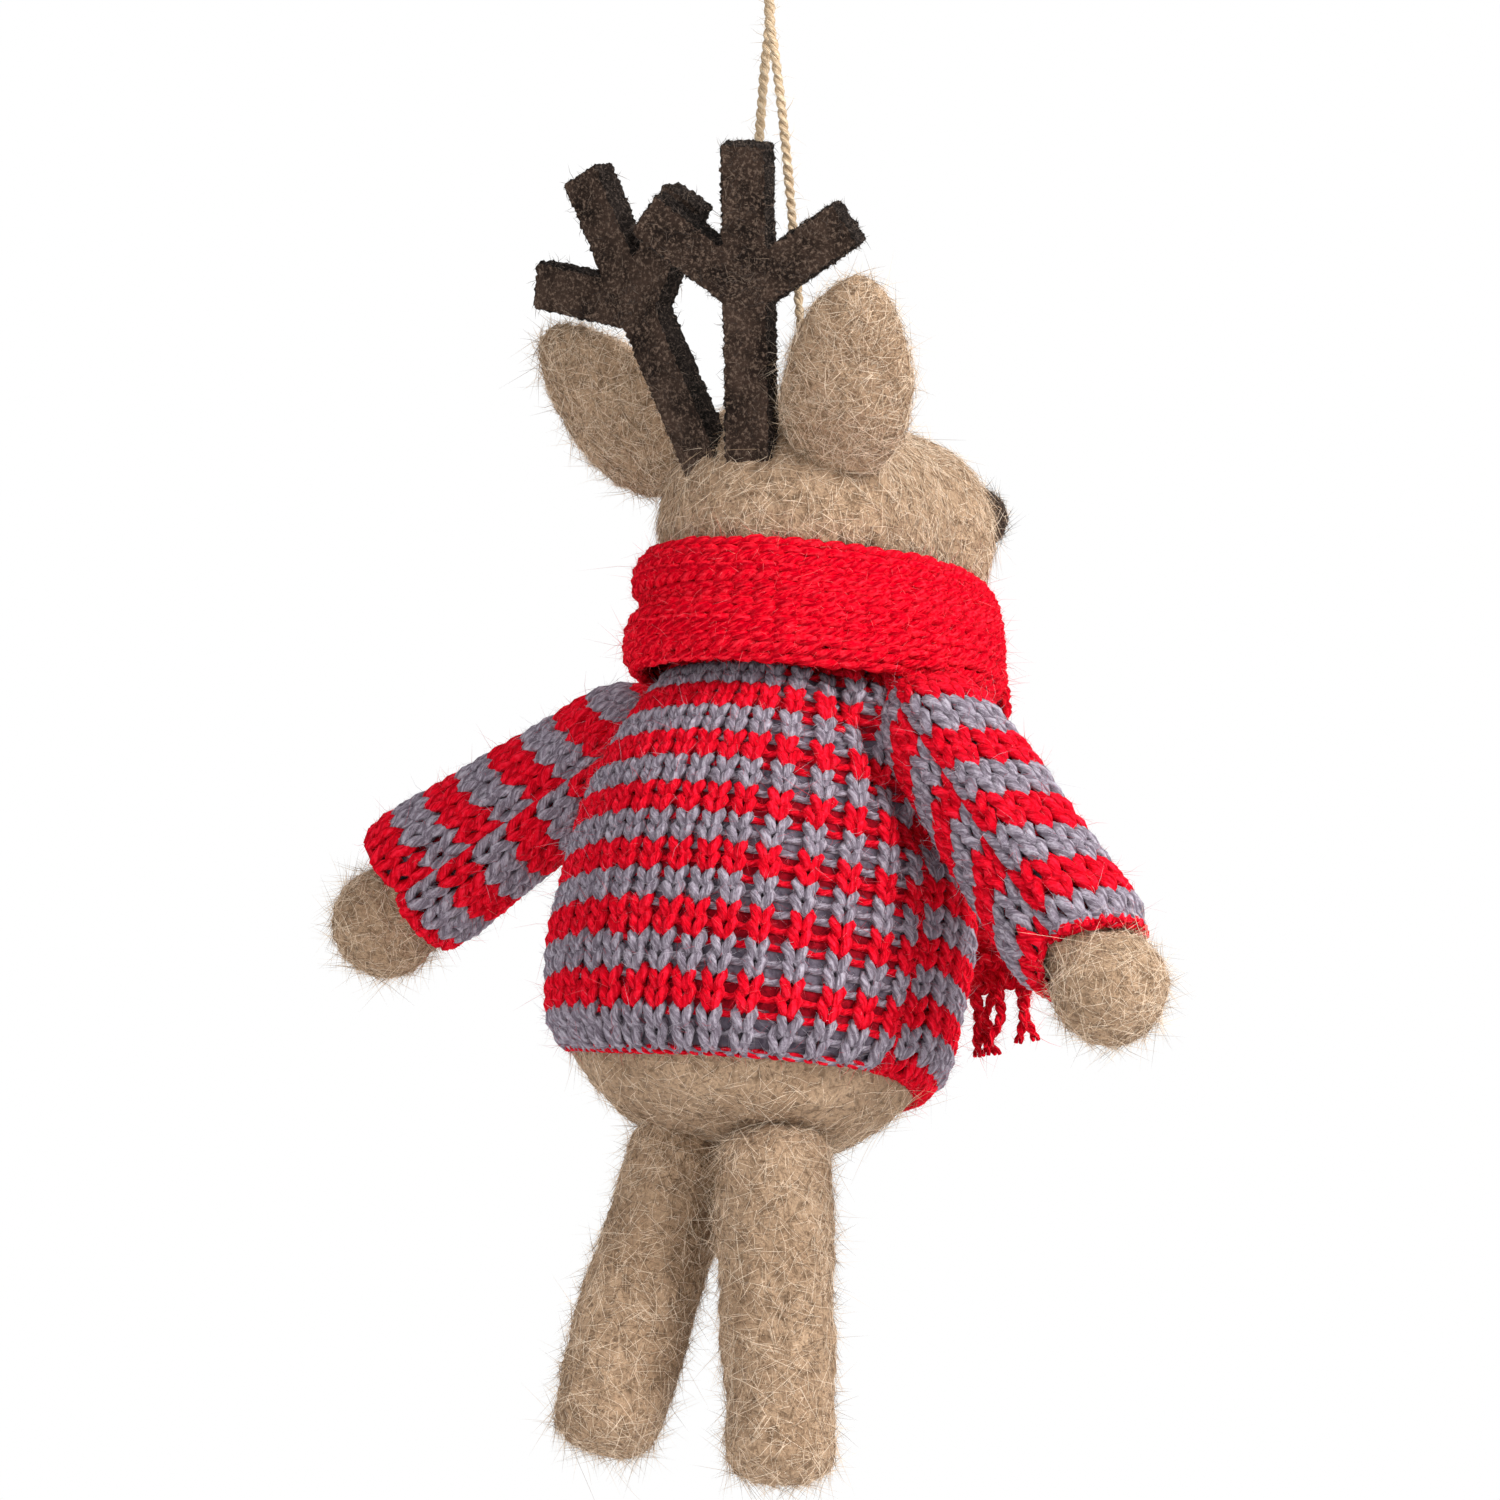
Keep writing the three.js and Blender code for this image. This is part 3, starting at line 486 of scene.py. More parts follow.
# The yarns' dark tones are painted shade in their ply grooves and their light tones painted highlight.
RED = spun_yarn("red yarn", (0.36, 0.001, 0.006), (0.80, 0.003, 0.016), (0.98, 0.020, 0.050), 2.6 * MM)
RED_HAIR = [
    hair("bright red fibre", (0.76, 0.012, 0.03)),
    hair("red fibre", (0.50, 0.008, 0.02)),
    hair("pink red fibre", (0.74, 0.10, 0.12)),
]
GREY = spun_yarn("lilac grey yarn", (0.115, 0.090, 0.114), (0.265, 0.222, 0.268), (0.49, 0.44, 0.50),
                 2.6 * MM)
GREY_HAIR = [
    hair("lilac grey fibre", (0.36, 0.32, 0.37)),
    hair("pale grey fibre", (0.55, 0.50, 0.55)),
    hair("rosy fibre", (0.50, 0.08, 0.11)),
]
SCARF_RED = spun_yarn("scarlet scarf yarn", (0.32, 0.000, 0.006), (0.74, 0.000, 0.012), (0.98, 0.026, 0.048),
                      3.0 * MM)
SCARF_HAIR = [
    hair("bright scarlet fibre", (0.92, 0.008, 0.030)),
    hair("deep scarlet fibre", (0.50, 0.002, 0.010)),
    # Pale pink fibres: their colour is painted highlight on the scarf's yarn.
    hair("painted highlight scarlet fibre", (0.95, 0.15, 0.17)),
]
# Dark sheets under the knitting: their colours are painted shade, seen in the gaps between stitches.
STRIPED_SHADE_SHEET = painted_shade_sheet("painted shade under the striped knitting", (0.13, 0.002, 0.006), (0.28, 0.004, 0.012),
                       ((0.075, 0.06, 0.08), (0.15, 0.125, 0.155)))
SCARF_SHADE_SHEET = painted_shade_sheet("painted shade under the scarf", (0.10, 0.001, 0.004), (0.22, 0.002, 0.008))
FELT_FACE = cut_felt("dark brown felt", (0.014, 0.009, 0.007), (0.066, 0.041, 0.030), (0.24, 0.165, 0.122),
                     0.4 * MM)
FELT_EDGE = cut_felt("cut edge of the felt", (0.006, 0.005, 0.004), (0.018, 0.013, 0.011),
                     (0.10, 0.075, 0.062), 0.4 * MM)
FELT_HAIR = [
    hair("dark felt fibre", (0.045, 0.033, 0.028)),
    hair("brown felt fibre", (0.10, 0.074, 0.06)),
    hair("pale felt fibre", (0.22, 0.16, 0.12)),
]
TWINE = spun_yarn("pale jute twine", (0.46, 0.32, 0.19), (0.70, 0.52, 0.34), (0.84, 0.69, 0.50), 40 * MM)
TWINE_HAIR = [
    hair("jute fibre", (0.78, 0.60, 0.40)),
    hair("pale jute fibre", (0.88, 0.74, 0.55)),
    hair("dark jute fibre", (0.55, 0.38, 0.22)),
]


def make_piece(name, points, faces, finishes, body=None, finish_of_face=None, uvs=None, flat_faces=None,
               slit=None):
    """A mesh from whole arrays: points, lists of faces by corner count, one finish per face, faces turned
    outward. Slit is how far each point lies in a slit of the wool, which the wool's finish darkens with
    painted shade."""
    points = np.asarray(points, float).reshape(-1, 3)
    sizes = np.concatenate([np.full(len(group), group.shape[1]) for group in faces])
    middle = points.mean(0)
    first, second, third, last = [
        points[np.concatenate([group[:, corner] for group in faces])] - middle for corner in (0, 1, 2, -1)
    ]
    volume = np.einsum("ij,ij->", first, np.cross(second, third))
    volume += np.einsum("ij,ij->", first, np.cross(third, last))
    if volume < 0:
        faces = [group[:, ::-1] for group in faces]
        uvs = uvs and [group[:, ::-1] for group in uvs]
    mesh = bpy.data.meshes.new(name)
    mesh.vertices.add(len(points))
    mesh.vertices.foreach_set("co", points.astype(np.float32).ravel())
    loops = np.concatenate([group.ravel() for group in faces]).astype(np.int32)
    mesh.loops.add(len(loops))
    mesh.loops.foreach_set("vertex_index", loops)
    mesh.polygons.add(len(sizes))
    mesh.polygons.foreach_set("loop_start", (np.cumsum(sizes) - sizes).astype(np.int32))
    for finish in finishes:
        mesh.materials.append(finish.material)
    if finish_of_face is not None:
        mesh.polygons.foreach_set("material_index", finish_of_face.astype(np.int32))
    if uvs is not None:
        layer = mesh.uv_layers.new(name="yarn")
        layer.data.foreach_set("uv", np.concatenate([group.reshape(-1) for group in uvs]).astype(np.float32))
    if slit is not None:
        mesh.attributes.new("slit", "FLOAT", "POINT").data.foreach_set("value", slit.astype(np.float32))
    mesh.update(calc_edges=True)
    smooth = np.ones(len(sizes), bool) if flat_faces is None else ~flat_faces
    mesh.polygons.foreach_set("use_smooth", smooth)
    mesh.validate()
    piece = bpy.data.objects.new(name, mesh)
    bpy.context.scene.collection.objects.link(piece)
    if body:
        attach(piece, body)
    return piece


def lumps(points, size, seed, waves=14):
    """Smooth random height from about -1 to 1: sine waves of about one length that run in random directions,
    added up."""
    random = np.random.default_rng(seed)
    directions = unit(random.normal(size=(waves, 3))) * 2 * math.pi / size
    directions = directions * random.uniform(0.7, 1.5, (waves, 1))
    phases = random.uniform(0, 2 * math.pi, waves)
    return np.sin(points @ directions.T + phases).sum(-1) / math.sqrt(waves) / 1.6


def quads_between(near, far):
    """Quads of a grid of point numbers (rows, columns): each has a point, its neighbour in the far grid, and
    the same two in the next row."""
    corners = [near[..., :-1, :], far[..., :-1, :], far[..., 1:, :], near[..., 1:, :]]
    return np.stack(corners, -1).reshape(-1, 4)


def quads_round(index):
    """Quads of a grid of point numbers whose rows close round on themselves."""
    return quads_between(index, np.roll(index, -1, axis=-1))


def closed_skin(rings):
    """Points and faces of a closed skin from rings (rows, around, 3) whose first and last rings are poles: a
    pole, the rings between, and the other pole."""
    rows, around = rings.shape[0] - 2, rings.shape[1]
    points = np.concatenate([rings[:1, 0], rings[1:-1].reshape(-1, 3), rings[-1:, 0]])
    ring = 1 + np.arange(rows * around).reshape(rows, around)
    following = np.roll(ring, -1, axis=1)
    start_fan = np.stack([np.zeros(around, int), following[0], ring[0]], -1)
    end_fan = np.stack([np.full(around, len(points) - 1), ring[-1], following[-1]], -1)
    return points, [quads_round(ring), np.concatenate([start_fan, end_fan])]


def fleece_body(rings, lump, seed):
    """Points and faces of a fleece skin from rings whose first and last are poles: each point between the
    poles moves along its normal by the lump's height times lumps of three sizes."""
    down = np.gradient(rings, axis=0)
    around = np.roll(rings, -1, axis=1) - np.roll(rings, 1, axis=1)
    normal = unit(np.cross(around, down))
    middle = rings.mean((0, 1))
    normal *= np.sign(np.sum(normal * (rings - middle), -1, keepdims=True).mean())
    height = lumps(rings, 13 * MM, seed)
    height = height + 0.4 * lumps(rings, 4 * MM, seed + 1) + 0.6 * lumps(rings, 1.7 * MM, seed + 2)
    moved = rings + normal * (lump * height)[..., None]
    return closed_skin(np.concatenate([rings[:1], moved[1:-1], rings[-1:]]))


def lathe(radius, height, around):
    """Rings of a turned form about Z: radius and height go along the profile, the bearing goes round."""
    bearing = np.linspace(0, 2 * math.pi, around, endpoint=False)
    ring = np.stack([np.cos(bearing), np.sin(bearing), np.zeros(around)], -1)
    return radius[:, None, None] * ring + np.stack([0 * height, 0 * height, height], -1)[:, None]


def spots(surface, count, random, keep=None):
    """Random places spread evenly over the quads of a surface, with its outward direction at each."""
    points, faces = surface
    quads = points[faces[0]]
    normals = np.cross(quads[:, 2] - quads[:, 0], quads[:, 3] - quads[:, 1])
    area = np.linalg.norm(normals, axis=1)
    if keep is not None:
        area = area * keep(quads.mean(1))
    chosen = random.choice(len(quads), count, p=area / area.sum())
    across, along = random.random((2, count, 1))
    corner = quads[chosen]
    place = (corner[:, 0] * (1 - across) + corner[:, 1] * across) * (1 - along)
    place += (corner[:, 3] * (1 - across) + corner[:, 2] * across) * along
    return place, unit(normals[chosen])


def hairs(name, rooted, random, finishes, body, length, lift, curl, thickness=0.045 * MM, comb=0.0,
          segments=2, form=None):
    """Tapered three-sided fibres. Rooted is where they start and the outward direction there. Each runs along
    a direction that the lift angle raises from the surface, then curls:
    place = root + length * (share * direction + share squared * bend). Combing draws them down.
    Form is the radius and axis of the round piece they lie on: across it, they bend inward by their length
    over twice the radius."""
    roots, outward = rooted
    count = len(roots)
    length = random.uniform(*length, count)[:, None]
    lift = np.radians(random.uniform(*lift, count))[:, None]
    sideways = unit(np.cross(outward, random.normal(size=(count, 3))))
    fall = np.array([0, 0, -1]) + outward[:, 2:] * outward
    sideways = unit(sideways + comb * fall)
    heading = outward * np.sin(lift) + sideways * np.cos(lift)
    stray = random.normal(size=(count, 3))
    if form:
        stray -= 0.85 * np.sum(stray * outward, -1, keepdims=True) * outward
        across_axis = 1 - (sideways @ form[1])[:, None] ** 2
        bend = curl * stray - outward * length / (2 * form[0]) * across_axis
    else:
        bend = curl * stray - 0.4 * outward * np.cos(lift)
    share = np.linspace(0, 1, segments + 1)[None, :, None]
    line = roots[:, None] + length[:, None] * (share * heading[:, None] + share ** 2 * bend[:, None])
    across = unit(np.cross(heading, random.normal(size=(count, 3))))
    other = np.cross(heading, across)
    angle = np.arange(3) * 2 * math.pi / 3
    spokes = np.cos(angle)[:, None] * across[:, None] + np.sin(angle)[:, None] * other[:, None]
    taper = (thickness / 2) * (1 - 0.4 * share[:, :-1, :, None])
    rings = line[:, :-1, None] + taper * spokes[:, None]
    points = np.concatenate([rings.reshape(count, -1, 3), line[:, -1:]], 1)
    quads = quads_round(np.arange(3 * segments).reshape(-1, 3))
    tip = 3 * segments
    fans = np.array([[tip - 3, tip - 2, tip], [tip - 2, tip - 1, tip], [tip - 1, tip - 3, tip], [2, 1, 0]])
    first = (tip + 1) * np.arange(count)[:, None, None]
    faces = [(first + quads).reshape(-1, 4), (first + fans).reshape(-1, 3)]
    shade = random.choice(3, count, p=[0.42, 0.34, 0.24])
    finish_of_face = np.concatenate([np.repeat(shade, len(quads)), np.repeat(shade, len(fans))])
    return make_piece(name, points, faces, finishes, body, finish_of_face)


def fleece(name, skin, body, count, seed, form, keep=None, finishes=WOOL_HAIR, comb=0.0):
    """Fleece over a felted skin: fibres that lie along it, a short standing nap and a few long strays."""
    random = np.random.default_rng(seed)
    longest = min(4.2 * MM, 0.55 * form[0] + 0.8 * MM)
    hairs(name + "_lying_fibres", spots(skin, int(count * 0.8), random, keep), random, finishes, body,
          length=(1.3 * MM, longest), lift=(2, 10), curl=0.4, thickness=0.06 * MM, comb=comb, form=form)
    hairs(name + "_standing_fibres", spots(skin, int(count * 0.35), random, keep), random, finishes, body,
          length=(0.35 * MM, 1.0 * MM), lift=(25, 80), curl=0.3, comb=comb, segments=1)
    hairs(name + "_stray_fibres", spots(skin, int(count * 0.009), random, keep), random, finishes, body,
          length=(0.6 * longest, 1.5 * longest), lift=(6, 20), curl=0.45, thickness=0.04 * MM, comb=comb,
          segments=5, form=form)


def wool_skin(name, rings, lump, seed, body, nodes, slit=None):
    """A stuffed wool skin over rings of points, in place of the named solids; gives its points and faces."""
    points, faces = fleece_body(rings, lump, seed)
    skin = make_piece(name, points, faces, [WOOL], body, slit=slit)
    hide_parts(*nodes)
    return points, faces


def tubes(lines, outward, radius, sides=6, flatten=0.92):
    """Yarn along many lines at once (lines, points, 3): a ring at each point, across the line, its first
    spoke as near to the outward direction as the line lets it; the ring is a little flatter outward. Ends
    are closed. The UV map holds the distance along the line and the share of a turn round it."""
    count, steps = lines.shape[:2]
    along = unit(np.gradient(lines, axis=1))
    side = unit(np.cross(along, outward))
    out = np.cross(side, along)
    angle = np.arange(sides) * 2 * math.pi / sides
    spokes = flatten * np.cos(angle)[:, None] * out[:, :, None] + np.sin(angle)[:, None] * side[:, :, None]
    radius = np.broadcast_to(radius, (count, steps))
    points = lines[:, :, None] + radius[:, :, None, None] * spokes
    index = np.arange(count * steps * sides).reshape(count, steps, sides)
    faces = [quads_round(index), index[:, 0, ::-1], index[:, -1]]
    run = np.cumsum(np.linalg.norm(np.diff(lines, axis=1, prepend=lines[:, :1]), axis=-1), 1)
    run = np.broadcast_to(run[:, :, None], index.shape)
    share = np.broadcast_to(np.arange(sides) / sides, index.shape)
    near = np.stack([run, share], -1)
    far = np.stack([run, share + 1 / sides], -1)
    wrapped = np.stack([near[:, :-1], far[:, :-1], far[:, 1:], near[:, 1:]], -2).reshape(-1, 4, 2)
    uvs = [wrapped, np.zeros((count, sides, 2)), np.zeros((count, sides, 2))]
    return points.reshape(-1, 3), faces, uvs


def cloth_normal(cloth, across, up, step=0.04, below=0.04):
    """Outward direction of a cloth: the cross product of its run across and its run up, over a small step."""
    run_across = cloth(across + step, up) - cloth(across - step, up)
    run_up = cloth(across, up + step) - cloth(across, up - below)
    return unit(np.cross(run_across, run_up))


def stitches(wales, lean, pinch):
    """One course of knitting in stitches: t runs once round for each stitch, from sinker to sinker.
    Across = t / 2 pi + lean * sin 2t - pinch * sin t, up = cos t, and out = -cos 2t, so the legs lie in
    front."""
    t = np.linspace(-math.pi, (2 * wales - 1) * math.pi, wales * STITCH_STEPS + 1)
    across = t / (2 * math.pi) + 0.5 + lean * np.sin(2 * t) - pinch * np.sin(t)
    return across, np.cos(t), -np.cos(2 * t)


def knit(cloth, wales, courses, seed, yarn, depth, rise, lean, pinch):
    """Yarn of the given courses over a cloth: cloth(across, up) gives places from stitch counts, and each
    loop's point is the cloth there, plus its normal times the loop's depth. Stitches shift a little at
    random."""
    random = np.random.default_rng(seed)
    across, up, forward = stitches(wales, lean, pinch)
    courses = np.asarray(courses)[:, None]
    wander = 0.05 * np.sin(across * 1.3 + random.uniform(0, 6, (len(courses), 1)))
    jitter = np.repeat(random.normal(0, 0.035, (len(courses), wales)), STITCH_STEPS, axis=1)
    jitter = np.concatenate([jitter, jitter[:, -1:]], 1)
    shifted = np.clip(across + wander + jitter, 0.02, wales - 0.02)
    level = courses + 0.5 + rise * up + jitter[:, ::-1] * 0.8
    normal = cloth_normal(cloth, shifted, level)
    lines = cloth(shifted, level) + normal * (depth * forward)[..., None]
    thick = yarn * (1 + 0.07 * np.sin(across * 5.1 + random.uniform(0, 6, (len(courses), 1))))
    return tubes(lines, normal, thick * (1 - 0.3 * np.clip(-up, 0, 1) ** 6))


def knitted(name, parts, finish, body, fibres, fuzz_per_face, seed):
    """Pieces of one yarn: its tubes joined in one mesh, its short nap and its finer, longer fuzz."""
    points, faces, uvs = zip(*parts)
    starts = np.cumsum([0, *map(len, points[:-1])])
    points = np.concatenate(points)
    faces = [np.concatenate([face + start for face, start in zip(group, starts)]) for group in zip(*faces)]
    uvs = [np.concatenate(group) for group in zip(*uvs)]
    yarn = make_piece(name, points, faces, [finish], body, uvs=uvs)
    random = np.random.default_rng(seed)
    surface = (points, faces)
    nap = hairs(name + "_nap", spots(surface, int(0.5 * len(faces[0])), random), random, fibres, body,
                length=(0.4 * MM, 1.3 * MM), lift=(6, 50), curl=0.3, thickness=0.05 * MM, segments=1)
    fuzz = hairs(name + "_fuzz", spots(surface, int(fuzz_per_face * len(faces[0])), random), random, fibres,
                 body, length=(0.6 * MM, 2.4 * MM), lift=(4, 40), curl=0.6, thickness=0.04 * MM)
    return [yarn, nap, fuzz]


def cloth_sheet(name, cloth, across, up, finish, body, out=0.0):
    """A single sheet under the yarn, dark with painted shade where it shows between the stitches: the cloth's
    places on a grid, moved along its normal by out.
    The UV map holds the counts of courses and stitches."""
    across, up = np.meshgrid(across, up)
    points = cloth(across, up) + cloth_normal(cloth, across, up, 0.05, 0.05) * out
    index = np.arange(across.size).reshape(across.shape)
    quads = quads_between(index[:, :-1], index[:, 1:])
    counts = np.stack([up, across], -1).reshape(-1, 2)
    return make_piece(name, points, [quads], [finish], body, uvs=[counts[quads]])


# Hanging loop of twine
def smooth_route(points, per_span):
    """Catmull-Rom curve through points: each span is the cubic that leaves its ends along the line between
    their neighbours."""
    padded = np.concatenate([2 * points[:1] - points[1:2], points, 2 * points[-1:] - points[-2:-1]])
    share = np.arange(per_span)[:, None] / per_span
    before, first, second, after = [padded[i:i + len(points) - 1, None] for i in range(4)]
    cubic = 3 * (first - second) + after - before
    square = 2 * before - 5 * first + 4 * second - after
    curve = first + 0.5 * share * (second - before + share * (square + share * cubic))
    return np.concatenate([curve.reshape(-1, 3), points[-1:]])


def twine_loop():
    """Two plies wound round the loop's route: each keeps its offset from it and turns with distance."""
    half = np.concatenate([LOOP_HALF_ROUTE[:1] + TWINE_TUCK, LOOP_HALF_ROUTE])
    other = half[::-1] * np.array([-1, -1, 1])
    route = np.concatenate([half, LOOP_TOP, other])
    route[:, 1] += LOOP_SLANT * route[:, 2]
    path = smooth_route(route, 18)
    run = np.cumsum(np.linalg.norm(np.diff(path, axis=0, prepend=path[:1]), axis=1))
    along = unit(np.gradient(path, axis=0))
    side = unit(np.cross(along, np.array([0.1, 1, 0.05])))
    up = np.cross(side, along)
    wind = run * 2 * math.pi / TWINE_TWIST + 0.7 * np.sin(run / (6 * MM))
    offset = np.cos(wind)[:, None] * side + np.sin(wind)[:, None] * up
    outward = np.stack([offset, -offset])
    swell = 1 + 0.1 * lumps(path, 5 * MM, 3) + 0.06 * lumps(path, 1.6 * MM, 4)
    points, faces, uvs = tubes(path + outward * TWINE_PLY_OFFSET, outward, TWINE_PLY_RADIUS * swell, sides=8,
                               flatten=1.0)
    loop = make_piece("twine_loop", points, faces, [TWINE], "hanging_loop", uvs=uvs)
    random = np.random.default_rng(11)
    fuzz = hairs("twine_loop_fibres", spots((points, faces), TWINE_FIBRES, random), random, TWINE_HAIR,
                 "hanging_loop", length=(0.8 * MM, 2.6 * MM), lift=(6, 40), curl=0.3, thickness=0.05 * MM)
    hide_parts("hanging_loop")


twine_loop()


# Head, nose, eyes, ears and antlers
def head_slits(place):
    """How far places lie in the upright slits above the scarf: high where |sin| of the bearing about the head
    peaks, in broken lengths, fading out upward and towards the muzzle."""
    bearing = np.arctan2(place[..., 0], place[..., 1])
    low = np.clip((-1 * MM - place[..., 2]) / (4 * MM), 0, 1)
    groove = np.abs(np.sin(bearing * SLIT_WAVES + 0.5 * lumps(place, 9 * MM, 23))) ** 4
    broken = np.clip(0.3 + 2.8 * lumps(place * np.array([1, 1, 0.6]), 4 * MM, 24), 0, 1)
    behind = np.clip((place[..., 1] + 12 * MM) / (6 * MM), 0, 1)
    return low * groove * broken * behind


def head():
    """Skull and muzzle: two balls joined by the cone that touches both, turned about the muzzle's line;
    upright slits run between the felted stitches just above the scarf."""
    slope = math.asin((SKULL_RADIUS - MUZZLE_RADIUS) / MUZZLE_FORWARD)
    back = np.linspace(math.pi / 2, slope, 92)
    front = np.linspace(slope, -math.pi / 2, 58)
    start = np.array([-SKULL_RADIUS * np.sin(back), SKULL_RADIUS * np.cos(back)])
    end = np.array([MUZZLE_FORWARD - MUZZLE_RADIUS * np.sin(front), MUZZLE_RADIUS * np.cos(front)])
    share = np.linspace(0, 1, 22)[1:-1]
    cone = start[:, -1:] * (1 - share) + end[:, :1] * share
    forward, radius = np.concatenate([start, cone, end], 1)
    rings = lathe(radius, forward, 150)[..., [0, 2, 1]] * np.array([1, -1, 1])
    slit = head_slits(rings)
    inward = -unit(rings - np.array([0, -0.3, 0]) * SKULL_RADIUS)
    rings = rings + inward * (SLIT_DEPTH * slit)[..., None]
    skin = wool_skin("head", rings + HEAD_ORIGIN, 0.24 * MM, 21, "figure", ["head_skin", "head_stuffing"],
                     np.concatenate([[0], slit[1:-1].ravel(), [0]]))

    def above_scarf(place):
        seen = place[:, 2] > HEAD_ORIGIN[2] - HEAD_FLEECE_BELOW
        return seen * (1 - 0.9 * head_slits(place - HEAD_ORIGIN))

    fleece("head", skin, "figure", HEAD_FIBRES, 22, (13 * MM, np.array([0, 0.6, 0])), above_scarf, comb=0.8)


def nose_and_eyes():
    """Nose: an ellipsoid of dark felt; eyes: small black beads."""
    angle = np.linspace(0, math.pi, 40)
    ball = lathe(np.sin(angle), np.cos(angle), 48)
    centre = MUZZLE_ORIGIN + MUZZLE_RADIUS * direction(0, NOSE_RISE)
    skin = fleece_body(ball * NOSE_HALF + centre, 0.16 * MM, 31)
    nose = make_piece("nose_felt", *skin, [FELT_FACE], "figure")
    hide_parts("nose")
    form = (2.6 * MM, np.zeros(3))
    fleece("nose_felt", skin, "figure", NOSE_FIBRES, 32, form, finishes=FELT_HAIR)
    fleece("nose_edge", skin, "figure", NOSE_EDGE_FIBRES, 33, form)
    bead = Finish("black bead", Roughness=0.12, Coat_Weight=0.6)
    scuffs = bead.noise(0.8 * MM, 2.0)
    bead.set("Base Color", bead.mix(scuffs, (0.006, 0.005, 0.005), (0.02, 0.017, 0.015)))
    for side, sign in SIDES.items():
        centre = MUZZLE_ORIGIN + (MUZZLE_RADIUS - EYE_SINK) * direction(sign * EYE_ASIDE, EYE_RISE)
        eye = make_piece(side + "_bead_eye", *closed_skin(ball * EYE_RADIUS + centre), [bead], "figure")
        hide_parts(side + "_eye")


def ear(side):
    """A plump leaf, flattened: radius = half width * root of sin(pi * share^0.75), with the share of the
    length stepped closest at both ends."""
    sign = SIDES[side]
    share = (1 - np.cos(np.linspace(0, math.pi, 90))) / 2
    radius = EAR_WIDTH / 2 * np.sqrt(np.maximum(np.sin(math.pi * share ** 0.75), 0))
    rings = lathe(radius, EAR_LENGTH * share, 90) * np.array([1, EAR_THICKNESS / EAR_WIDTH, 1])
    stand = head_turn(side, EAR_POSE)
    seat = HEAD_ORIGIN + (SKULL_RADIUS - SKIN) * direction(sign * EAR_ASIDE, EAR_RISE)
    name = side + "_wool_ear"
    skin = wool_skin(name, rings @ stand.T + seat, 0.26 * MM, 41 + sign, "figure", [side + "_ear"])
    fleece(name, skin, "figure", EAR_FIBRES, 43 + sign, (5 * MM, 0.6 * stand[:, 2]))


def antler_outline():
    """Outline of an antler in its own plane: up the stem's right edge, round one square-ended tine and on to
    the square top, then the same mirrored."""
    half = ANTLER_WIDTH / 2
    bend = math.radians(ANTLER_TINE_TURN)
    along = np.array([math.sin(bend), math.cos(bend)])
    across = np.array([math.cos(bend), -math.sin(bend)])
    edges = np.array([[1], [-1]]) * half * across + np.array([0, ANTLER_FORK])
    meets = edges + (half - edges[:, :1]) / along[0] * along
    ends = edges + ANTLER_TINE * along
    right = np.array([[half, -ANTLER_ROOT], meets[0], ends[0], ends[1], meets[1], [half, ANTLER_HEIGHT]])
    return np.concatenate([right, (right * np.array([-1, 1]))[::-1]])


def branch_spots(count, random):
    """Random places on the antler's flat faces: along its stem and its two tines, by their lengths."""
    half = ANTLER_WIDTH / 2
    bend = math.radians(ANTLER_TINE_TURN)
    lengths = np.array([ANTLER_HEIGHT, ANTLER_TINE, ANTLER_TINE])
    branch = random.choice(3, count, p=lengths / lengths.sum())
    angle = np.array([0, bend, -bend])[branch]
    start = np.array([0, ANTLER_FORK, ANTLER_FORK])[branch]
    far = random.random(count) * lengths[branch]
    wide = random.uniform(-half, half, count)
    aside = far * np.sin(angle) + wide * np.cos(angle)
    return np.stack([aside, start + far * np.cos(angle) - wide * np.sin(angle)], -1)


